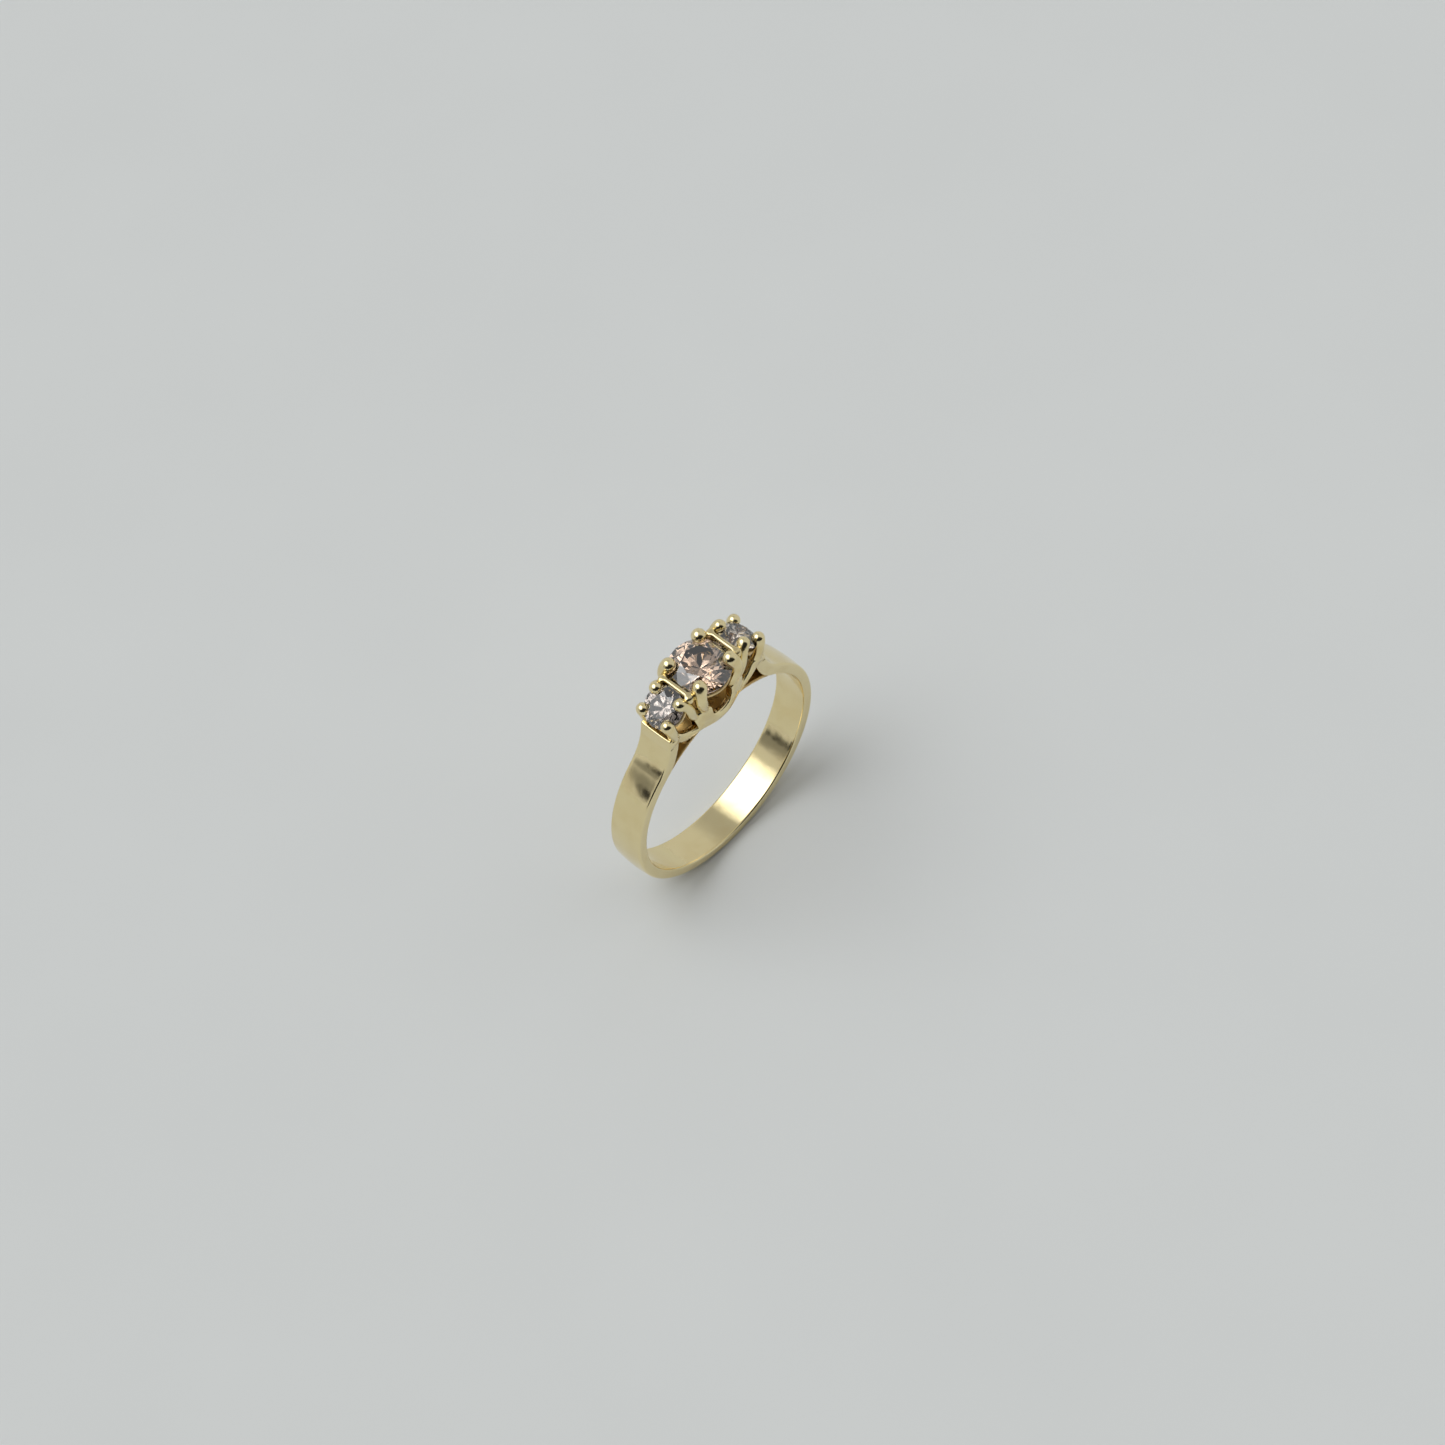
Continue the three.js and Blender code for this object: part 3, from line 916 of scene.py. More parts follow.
@dataclass(frozen=True)
class GoldFinish:
    """Pale yellow gold: a metal surface with polish waves, buffed lines, rubbed edges and painted shade in
    recesses.

    Args:
        name: The material's name.
        color: Reflected colour of clean metal.
        deep_color: Colour where the metal is duller.
        painted_shade_color: Painted shade: the darker colour laid into recesses, where shade falls.
        shine: Roughness of clean metal.
        dull: Roughness where it is worn.
        line_depth: Height of the buffed lines, in millimetres.
        wave_depth: Height of the polish waves, in millimetres.
        wave_size: Waves to the millimetre.
        pit_depth: Depth of the pits as a share of the waves.
    """

    name: str
    color: tuple[float, float, float] = (0.87, 0.745, 0.43)
    deep_color: tuple[float, float, float] = (0.80, 0.65, 0.34)
    painted_shade_color: tuple[float, float, float] = (0.50, 0.33, 0.12)
    shine: float = 0.13
    dull: float = 0.24
    line_depth: float = 0.0
    wave_depth: float = 0.02
    wave_size: float = 0.9
    pit_depth: float = 0.15

    def make(self) -> bpy.types.Material:
        """Builds the material.

        Returns:
            A new node material.
        """
        material, wire, shader = start_material(self.name)
        shader.inputs["Metallic"].default_value = 1.0
        polish = wire.add("ShaderNodeGroup", node_tree=WORKSHOP.group("hand_polish"))
        polish.inputs["Wave Size"].default_value = self.wave_size
        polish.inputs["Pit Depth"].default_value = self.pit_depth
        wire.join(wire.place_in_millimetres(), polish.inputs["Vector"])
        normal = wire.bump(polish.outputs["Height"], self.wave_depth).outputs[0]
        dullness = polish.outputs["Mask"]
        if self.line_depth > 0:
            surface_map = wire.add("ShaderNodeUVMap", uv_map="surface")
            lines = wire.add("ShaderNodeGroup", node_tree=WORKSHOP.group("buffed_lines"))
            wire.join(surface_map.outputs[0], lines.inputs["Vector"])
            line_bump = wire.bump(lines.outputs["Height"], self.line_depth)
            wire.join(normal, line_bump.inputs["Normal"])
            normal = line_bump.outputs[0]
            dullness = wire.math("MULTIPLY", lines.outputs["Mask"], lines.outputs["Height"])
        wire.join(normal, shader.inputs["Normal"])
        worn = wire.add("ShaderNodeAttribute", attribute_name="wear")
        kept = wire.math("SUBTRACT", 1.0, worn.outputs["Fac"])
        dulled = wire.math("MULTIPLY", dullness, kept)
        wire.join(wire.remap(dulled, 0.0, 1.0, self.shine, self.dull), shader.inputs["Roughness"])
        tone = wire.blend(dulled, self.color, self.deep_color)
        # Painted shade: faces that the recess attribute marks as lying in shade are mixed towards the darker
        # recess colour.
        hidden = wire.add("ShaderNodeAttribute", attribute_name="painted_shade")
        shade_painted_tone = wire.blend(hidden.outputs["Fac"], tone, self.painted_shade_color)
        wire.join(shade_painted_tone, shader.inputs["Base Color"])
        return material


@dataclass(frozen=True)
class DiamondFinish:
    """A cut stone: clear, tinted and highly refractive, with faint clouds in its tint.

    Args:
        name: The material's name.
        tint: Colour of light that passes a clean facet.
        cloud: Colour where the stone holds faint clouds.
    """

    name: str
    tint: tuple[float, float, float]
    cloud: tuple[float, float, float]
    refraction: float = 2.42
    cloud_scale: float = 0.8

    def make(self) -> bpy.types.Material:
        """Builds the material.

        Returns:
            A new node material.
        """
        material, wire, shader = start_material(self.name)
        shader.inputs["Transmission Weight"].default_value = 1.0
        shader.inputs["IOR"].default_value = self.refraction
        shader.inputs["Roughness"].default_value = 0.0
        clouds = wire.add("ShaderNodeTexNoise")
        clouds.inputs["Scale"].default_value = self.cloud_scale
        clouds.inputs["Detail"].default_value = 2.0
        wire.join(wire.place_in_millimetres(), clouds.inputs["Vector"])
        cloudy = wire.remap(clouds.outputs["Fac"], 0.4, 0.6, 0.0, 1.0)
        wire.join(wire.blend(cloudy, self.tint, self.cloud), shader.inputs["Base Color"])
        return material


# ---- Making pieces --------------------------------------------------------------------------------


def new_object(
    name: str, points: Array, faces: list[Array], material: bpy.types.Material
) -> bpy.types.Object:
    """Makes a mesh object whose place is in its vertices.

    Args:
        name: The object's name.
        points: Vertices in millimetres.
        faces: Arrays of faces.
        material: Its finish.

    Returns:
        The new object, linked to the scene.
    """
    mesh = bpy.data.meshes.new(name)
    listed = [corners for group in faces for corners in group.tolist()]
    mesh.from_pydata((points * MILLIMETRE).tolist(), [], listed)
    mesh.validate()
    piece = bpy.data.objects.new(name, mesh)
    bpy.context.scene.collection.objects.link(piece)
    mesh.materials.append(material)
    return piece


def stand_for(piece: bpy.types.Object, node: str) -> None:
    """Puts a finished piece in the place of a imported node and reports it.

    Args:
        piece: The finished piece.
        node: The node that it stands for.
    """
    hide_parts(node)
    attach(piece, BODY)
    log.info("%s: %d faces, stands for %s", piece.name, len(piece.data.polygons), node)


def metal_piece(node: str, surface: Surface, material: bpy.types.Material) -> bpy.types.Object:
    """Makes a smooth metal piece with its surface map and its rubbed edges.

    Args:
        node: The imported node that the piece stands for.
        surface: Its grid of points.
        material: Its finish.

    Returns:
        The new piece.
    """
    smooth_limit = math.radians(38.0)
    points, faces, uv = surface.points(), surface.faces(), surface.surface_uv()
    if signed_volume(points, faces) < 0:
        faces = [group[:, ::-1] for group in faces]
        uv = uv[:, ::-1]
    piece = new_object(f"{node}_finished", points, faces, material)
    mesh = piece.data
    corners = np.zeros((len(mesh.loops), 2), np.float32)
    corners[: uv.shape[0] * 4] = uv.reshape(-1, 2)
    mesh.uv_layers.new(name="surface").data.foreach_set("uv", corners.ravel())
    # wear marks edges rubbed bright; recess carries the painted shade mask.
    for title, known in (("wear", surface.wear), ("painted_shade", surface.painted_shade)):
        values = np.zeros(len(mesh.vertices), np.float32)
        if known is not None:
            values[: known.size] = known.ravel()
        mesh.attributes.new(title, "FLOAT", "POINT").data.foreach_set("value", values)
    mesh.polygons.foreach_set("use_smooth", np.ones(len(mesh.polygons), bool))
    mesh.set_sharp_from_angle(angle=smooth_limit)
    stand_for(piece, node)
    return piece


# ---- Shank, rail and end walls ------------------------------------------------------------------------


@dataclass(frozen=True)
class Shank:
    """The band with its two shoulders, and the rail that closes the finger circle.

    Args:
        layout: The ring's sizes.
    """

    layout: Layout
    outer_angle: float = 43.5
    inner_angle: float = 37.5
    inner_bend: float = 0.65
    edge_rounding: float = 0.15
    crown: float = 0.11
    shoulder_steps: int = 40
    band_steps: int = 260
    rail_thickness: float = 0.28
    rail_inset: float = 0.02
    rail_steps: int = 90

    def outer_shoulder(self) -> Array:
        """The right shoulder's outer edge: a cubic Bezier that leaves the band's circle along it.

        Returns:
            Points from the band up to the tip, in the X-Z plane.
        """
        lay = self.layout
        start, lean = math.radians(90 - self.outer_angle), math.radians(lay.tip_lean)
        foot = lay.band_radius * np.array([math.cos(start), math.sin(start)])
        tip = np.array([lay.head_end, lay.shoulder_top])
        reach = float(np.linalg.norm(tip - foot)) / 3
        leave = foot + reach * np.array([-math.sin(start), math.cos(start)])
        arrive = tip - reach * np.array([-math.sin(lean), math.cos(lean)])
        return bezier(np.array([foot, leave, arrive, tip]), self.shoulder_steps)

    def inner_shoulder(self) -> Array:
        """The right shoulder's inner edge: a quadratic Bezier from the finger hole up to the tip.

        Returns:
            Points in the X-Z plane.
        """
        lay = self.layout
        start, lean = math.radians(90 - self.inner_angle), math.radians(lay.tip_lean)
        foot = lay.finger_radius * np.array([math.cos(start), math.sin(start)])
        tip = np.array([lay.head_end - lay.tip_thickness, lay.shoulder_top])
        reach = float(np.linalg.norm(tip - foot)) * self.inner_bend
        control = tip + reach * np.array([math.sin(lean), -math.cos(lean)])
        return bezier(np.array([foot, control, tip]), self.shoulder_steps)

    def guides(self) -> tuple[Array, Array]:
        """The band's inner and outer edges, from the left shoulder's tip round to the right one's.

        Returns:
            Two arrays of as many points.
        """
        lay = self.layout
        outer_start, inner_start = 90 - self.outer_angle, 90 - self.inner_angle
        outer_arc = arc(lay.band_radius, 180 - outer_start, 360 + outer_start, self.band_steps)
        inner_arc = arc(lay.finger_radius, 180 - inner_start, 360 + inner_start, self.band_steps)
        outer = np.vstack([mirrored(self.outer_shoulder())[:-1], outer_arc, self.outer_shoulder()[1:]])
        inner = np.vstack([mirrored(self.inner_shoulder())[:-1], inner_arc, self.inner_shoulder()[1:]])
        return inner, outer

    def build_band(self, material: bpy.types.Material) -> None:
        """Carries the rounded section round the finger, with a faint crown on its outer face.

        The outer face drops towards its edges by the crown times the square of the share across.

        Args:
            material: The band's finish.
        """
        lay = self.layout
        inner, outer = self.guides()
        loop = RoundedLoop.build(side_steps=6, end_steps=14, corner_steps=6)
        rounding = np.full(len(inner), self.edge_rounding)
        rings = strip(inner, outer, loop, 2 * lay.half_band, rounding, rounding)
        rings[..., 1] -= lay.half_band
        from_tip = np.minimum(np.arange(len(inner)), np.arange(len(inner))[::-1])
        lift = self.crown * smooth_step(from_tip / (2 * self.shoulder_steps))[:, None]
        lift = -lift * loop.up * (rings[..., 1] / lay.half_band) ** 2
        rings[..., [0, 2]] -= unit(inner - outer)[:, None] * lift[..., None]
        edge = 1 - smooth_step(np.abs(np.abs(rings[..., 1]) - lay.half_band) / self.edge_rounding)
        is_rim = np.broadcast_to((loop.up > 0.99) | (loop.up < 0.01), edge.shape)
        metal_piece("shank", Surface(rings, wear=edge * is_rim), material)

    def build_rail(self, material: bpy.types.Material) -> None:
        """Carries a thin section along the finger circle under the head.

        Args:
            material: The rail's finish.
        """
        lay = self.layout
        start = 90 - self.inner_angle + 1.0
        low = arc(lay.finger_radius, 180 - start, start, self.rail_steps)
        high = arc(lay.finger_radius + self.rail_thickness, 180 - start, start, self.rail_steps)
        loop = RoundedLoop.build(side_steps=3, end_steps=12, corner_steps=5)
        rounding = np.full(len(low), 0.07)
        half = lay.half_band - self.rail_inset
        rings = strip(low, high, loop, 2 * half, rounding, rounding)
        rings[..., 1] -= half
        # Painted shade: the rail's top, which lies under the head, is darkened through the recess mask.
        painted_shade = np.broadcast_to(smooth_step((loop.up - 0.3) / 0.5), rings.shape[:2])
        metal_piece("finger_rail", Surface(rings, painted_shade=painted_shade), material)


@dataclass(frozen=True)
class EndWall:
    """The low wall at one end of the head, which carries the shoulder's line up to the stone.

    Args:
        layout: The ring's sizes.
        side: Left or right.
    """

    layout: Layout
    side: Side
    rise: float = 1.85
    thickness: float = 0.4
    root: float = 0.08
    rounding: float = 0.12
    steps: int = 24
    sag: float = 0.12
    proud: float = 0.008
    edge_rounding: float = 0.15

    def build(self, material: bpy.types.Material) -> None:
        """Carries the wall's outline across the ring; its top dips between the claws as a parabola.

        The outer face draws back over the rounded ends as a circle's arc does.

        Args:
            material: The wall's finish.
        """
        lay = self.layout
        slope = math.tan(math.radians(lay.tip_lean))
        foot, top = lay.shoulder_top - self.root, lay.finger_radius + self.rise

        def at(x: float, z: float) -> list[float]:
            """A point that leans inwards with its height over the shoulder."""
            return [x - (z - lay.shoulder_top) * slope, z]

        end, inside = lay.head_end + self.proud, lay.head_end - self.thickness
        corners = np.array([at(inside, foot), at(end, foot), at(end, top), at(inside, top)])
        outline = rounded_polygon(corners, np.array([0.02, 0.02, self.rounding, self.rounding]))
        half, edge = lay.half_band, self.edge_rounding
        turn = np.linspace(0.0, np.pi / 2, 7)
        corner_y = half - edge + edge * np.sin(turn)
        inner_y = np.linspace(edge - half, half - edge, self.steps + 1)[1:-1]
        y = np.concatenate([-corner_y[::-1], inner_y, corner_y])[:, None]
        past = np.clip((np.abs(y) - half + edge) / edge, 0.0, 1.0)
        retreat = edge * (1 - np.sqrt(1 - past**2))
        outer_share = smooth_step((outline[:, 0] - inside) / (end - inside))
        top_share = smooth_step((outline[:, 1] - foot) / (top - foot))
        dip = self.sag * (1 - (y / half) ** 2) + retreat
        x = outline[:, 0] - retreat * outer_share
        rings = np.stack([x, np.broadcast_to(y, x.shape), outline[:, 1] - dip * top_share], -1)
        # Painted shade: the wall's inner side, facing into the head, is darkened through the recess mask.
        inward = smooth_step((lay.head_end - rings[..., 0] - 0.3) / 0.3)
        rings[..., 0] *= self.side.value
        name = f"{self.side.name.lower()}_end_wall"
        metal_piece(name, Surface(rings, painted_shade=inward), material)


# ---- Gallery ----------------------------------------------------------------------------------------


@dataclass(frozen=True)
class Gallery:
    """One scalloped side plate of the head, between the rail and the stones.

    Args:
        layout: The ring's sizes.
        flank: Front or back.
        web_rise: How far the web between two claws rises over their feet.
        swells: Each post's place along the row, its spread and its share of post_swell.
    """

    layout: Layout
    flank: Flank
    rail_thickness: float = 0.28
    center_wire: float = 0.46
    side_wire: float = 0.42
    center_post: float = 2.35
    outer_post: float = 1.75
    center_scoop: float = 0.9
    side_scoop: float = 0.72
    web_rise: float = 0.4
    rounding: float = 0.17
    crown: float = 0.08
    end_inset: float = 0.17
    post_swell: float = 0.2
    swells: tuple[tuple[float, float, float], ...] = ((1.8, 0.75, 1.0), (4.35, 0.35, 0.8))
    center_inset: float = 0.14
    outer_inset: float = 0.78
    inner_lean_share: float = 0.92
    outer_lean_angle: float = 16.0
    soften_width: int = 9
    stations: int = 56

    @property
    def center_foot(self) -> Array:
        """Foot of the right centre claw in the X-Z plane."""
        lay = self.layout
        reach = lay.center_radius * math.sqrt(0.5) - self.center_inset
        return np.array([reach, lay.finger_radius + self.center_post])

    @property
    def inner_lean(self) -> float:
        """Lean of the inner claw's foot, in radians."""
        return self.layout.tilt * self.inner_lean_share

    @property
    def inner_foot(self) -> Array:
        """Foot of the right stone's inner claw in the X-Z plane."""
        away = np.array([math.cos(self.inner_lean), -math.sin(self.inner_lean)])
        return self.center_foot + np.array([self.center_wire, 0.0]) + self.side_wire * away

    @property
    def outer_lean(self) -> float:
        """Lean of the outer claw's foot, in radians."""
        return math.radians(self.outer_lean_angle)

    @property
    def outer_foot(self) -> Array:
        """Foot of the right stone's outer claw in the X-Z plane."""
        lay = self.layout
        return np.array([lay.head_end - self.outer_inset, lay.finger_radius + self.outer_post])

    def beside(self, foot: Array, lean: float, way: float) -> Array:
        """The point at one side of a claw's foot."""
        return foot + way * self.side_wire * np.array([math.cos(lean), -math.sin(lean)])

    def lower_half(self) -> Array:
        """The lower edge from the middle outwards: a lip along the hole, the rail, and a sweep.

        The lip is a circle whose radius eases from the finger hole's to the top of the rail.

        Returns:
            Points in the X-Z plane for the right half.
        """
        lay = self.layout
        lip_reach, rim_reach, bow, clear = 0.7, 2.42, 0.25, 0.012
        x = np.linspace(0.0, rim_reach, 28)
        ease = smooth_step((x - lip_reach) / (rim_reach - lip_reach))
        radius = lay.finger_radius + clear + (self.rail_thickness - clear) * ease
        lip = np.stack([x, np.sqrt(radius**2 - x**2)], 1)
        shoulder = np.array([lay.head_end - lay.tip_thickness, lay.shoulder_top])
        control = np.array([(rim_reach + shoulder[0]) / 2 + bow, lip[-1, 1]])
        sweep = bezier(np.array([lip[-1], control, shoulder]), 20)
        return np.vstack([lip, sweep[1:]])

    def guides(self) -> tuple[Array, Array]:
        """Lower and upper edges of the right half, point against point.

        The upper edge runs along the centre scoop, over the post, along the side scoop and
        over the outer post, with a web between the two claws. Each stretch is spread evenly over
        as many points of the lower edge, which is divided where those stretches meet it.

        Returns:
            Two arrays of as many points.
        """
        lay = self.layout
        foot = self.center_foot
        inner_side = np.array([foot[0] - self.center_wire, foot[1]])
        floor = lay.finger_radius + self.center_scoop
        fillet, flat_share = 0.25, 0.8
        flat_end = [inner_side[0] * flat_share, floor]
        corner = [inner_side[0], floor + fillet]
        center_control = np.array([[0.0, floor], flat_end, corner, inner_side])
        center_curve = bezier(center_control, self.stations)
        inner_out = self.beside(self.inner_foot, self.inner_lean, 1.0)
        outer_in = self.beside(self.outer_foot, self.outer_lean, -1.0)
        outer_out = self.beside(self.outer_foot, self.outer_lean, 1.0)
        side_floor = lay.finger_radius + self.side_scoop
        neck = np.array([foot[0] + 0.12, (side_floor + inner_out[1]) / 2])
        dip = side_floor + 0.04
        floor_start = [neck[0] + 0.3, dip]
        floor_end = [(outer_in[0] + neck[0]) / 2 - 0.1, dip]
        bow = [outer_in[0] - 0.55, side_floor + 0.42]
        side_points = np.array([inner_out, neck, floor_start, floor_end, bow, outer_in])
        side_curve = through_points(side_points, 12)
        n = self.stations
        post = np.linspace(inner_side, inner_out, n // 2 + 1)
        post[:, 1] += self.web_rise * np.sin(np.linspace(0.0, np.pi, n // 2 + 1)) ** 2
        end = lay.head_end - self.end_inset
        shoulder_end = np.array([end, lay.shoulder_top])
        top = np.linspace(outer_in, outer_out, n // 3 + 1)
        fall = np.linspace(outer_out, [end, lay.shoulder_top + 0.45], n // 3 + 1)
        upper = [
            spread_evenly(center_curve, n + 1),
            post[1:],
            spread_evenly(side_curve, n + 1)[1:],
            top[1:],
            fall[1:],
        ]
        edge = self.lower_half()
        walk = np.concatenate([[0.0], np.cumsum(np.linalg.norm(np.diff(edge, axis=0), axis=1))])
        marks = np.interp([0.0, 1.2, 2.1, edge[-1, 0]], edge[:, 0], walk)

        def piece_of_edge(start: float, end: float, count: int) -> Array:
            """Points of the lower edge between two distances along it."""
            wanted = np.linspace(start, end, count + 1)
            return np.stack([np.interp(wanted, walk, column) for column in edge.T], 1)

        upper = np.vstack(upper)
        softened_upper = softened(upper, self.soften_width)
        seat = np.linspace(edge[-1], shoulder_end, 2 * (n // 3) + 1)
        lower = [
            piece_of_edge(marks[0], marks[1], n),
            piece_of_edge(marks[1], marks[2], n // 2)[1:],
            piece_of_edge(marks[2], marks[3], n)[1:],
            seat[1:],
        ]
        return np.vstack(lower), softened_upper

    def build(self, material: bpy.types.Material) -> None:
        """Carries the section from end to end and bends it to the gallery's face.

        The front bulges between the guides by the crown times the sine of the share between
        them. Towards each post's top it swells as a bell curve along the row, into the claws.

        Args:
            material: The plate's finish.
        """
        lay = self.layout
        lower, upper = self.guides()
        lower = np.vstack([mirrored(lower)[:-1], lower])
        upper = np.vstack([mirrored(upper)[:-1], upper])
        loop = RoundedLoop.build(side_steps=12, end_steps=5, corner_steps=6)
        height = np.linalg.norm(upper - lower, axis=1)
        high = np.minimum(self.rounding, 0.45 * height)
        seated = smooth_step((np.abs(lower[:, 0]) - (lay.head_end - lay.tip_thickness - 0.5)) / 0.5)
        low = np.minimum(0.09, 0.2 * height) * (1 - 0.85 * seated)
        rings = strip(lower, upper, loop, lay.gallery_thickness, low, high)
        bulge = self.crown * np.sin(np.pi * np.clip(loop.up, 0, 1)) * (1 - loop.back)
        fade = (1 - seated)[:, None]
        along = np.abs(rings[..., 0])
        posts = sum(size * np.exp(-(((along - at) / wide) ** 2)) for at, wide, size in self.swells)
        swell = self.post_swell * posts * smooth_step(loop.up) * (1 - loop.back)
        rings[..., 1] = -(lay.gallery_face(rings[..., 0]) + bulge * fade + swell - rings[..., 1])
        rings[..., 1] *= self.flank.value
        rubbed = np.exp(-((loop.up - 0.97) / 0.08) ** 2) * (loop.back < 0.5)
        wear = np.broadcast_to(rubbed, rings.shape[:2])
        # Painted shade: the plate's back, facing into the head, is darkened through the recess mask.
        painted_shade = np.broadcast_to(smooth_step((loop.back - 0.35) / 0.4), rings.shape[:2])
        metal_piece(f"{self.flank.name.lower()}_gallery", Surface(rings, wear=wear, painted_shade=painted_shade), material)


# ---- Claws -------------------------------------------------------------------------------------------


class ClawKind(Enum):
    """Which claw of a quarter: of the centre stone, or a side stone's inner or outer one."""

    CENTER = "center_claw"
    INNER = "inner_claw"
    OUTER = "outer_claw"


@dataclass(frozen=True)
class Claw:
    """One claw of the front right quarter, which the other quarters mirror.

    Args:
        foot: Where it stands on the gallery.
        foot_way: Direction in which it leaves its foot.
        tip: Middle of its bead.
        tip_way: Direction in which it reaches its bead.
        root: Where its hidden root ends, inside the plate.
        reach: How far the straight ends run.
        wire: Radius of its stem.
        bead: Radius of its bead.
    """

    foot: Array
    foot_way: Array
    tip: Array
    tip_way: Array
    root: Array
    reach: float
    wire: float
    bead: float
    root_radius: float = 0.2
    swell_share: float = 1.5
    stem_steps: int = 70
    dome_steps: int = 16
    around: int = 48

    def build_surface(self) -> Surface:
        """Carries a round section up the claw, from a buried root to the top of the bead.

        The radius eases from the root's to the wire's, stays there, eases to the bead's,
        and then falls as the root of one minus the square of the share over the dome.

        Returns:
            The claw's surface.
        """
        control = np.array(
            [
                self.foot,
                self.foot + self.foot_way * self.reach,
                self.tip - self.tip_way * self.reach,
                self.tip,
            ]
        )
        stem = spread_evenly(bezier(control, 200), self.stem_steps + 1)
        length = float(np.linalg.norm(np.diff(stem, axis=0), axis=1).sum())
        root_steps, arrival = 24, 0.4
        share = np.linspace(0.0, 1.0, root_steps, endpoint=False)
        bend = self.foot - self.foot_way * arrival
        root = bezier(np.array([self.root, bend, self.foot]), root_steps)[:-1]
        root_radius = self.root_radius + (self.wire - self.root_radius) * smooth_step(share)
        walked = np.linspace(0.0, length, self.stem_steps + 1)
        swell = self.swell_share * self.bead
        stem_radius = self.wire + (self.bead - self.wire) * smooth_step((walked - length + swell) / swell)
        over = np.sin(np.linspace(0.0, np.pi / 2, self.dome_steps + 1)[1:-1])
        dome = self.tip + self.tip_way * self.bead * over[:, None]
        dome_radius = self.bead * np.sqrt(1 - over**2)
        path = np.vstack([root, stem, dome])
        radius = np.concatenate([root_radius, stem_radius, dome_radius])
        rings = tube(path, radius, self.around)
        poles = (root[0], self.tip + self.tip_way * self.bead)
        top = smooth_step((np.arange(len(path)) - len(root) - self.stem_steps + 6) / 8)
        wear = np.broadcast_to(top[:, None], rings.shape[:2])
        return Surface(rings, poles=poles, wear=wear)


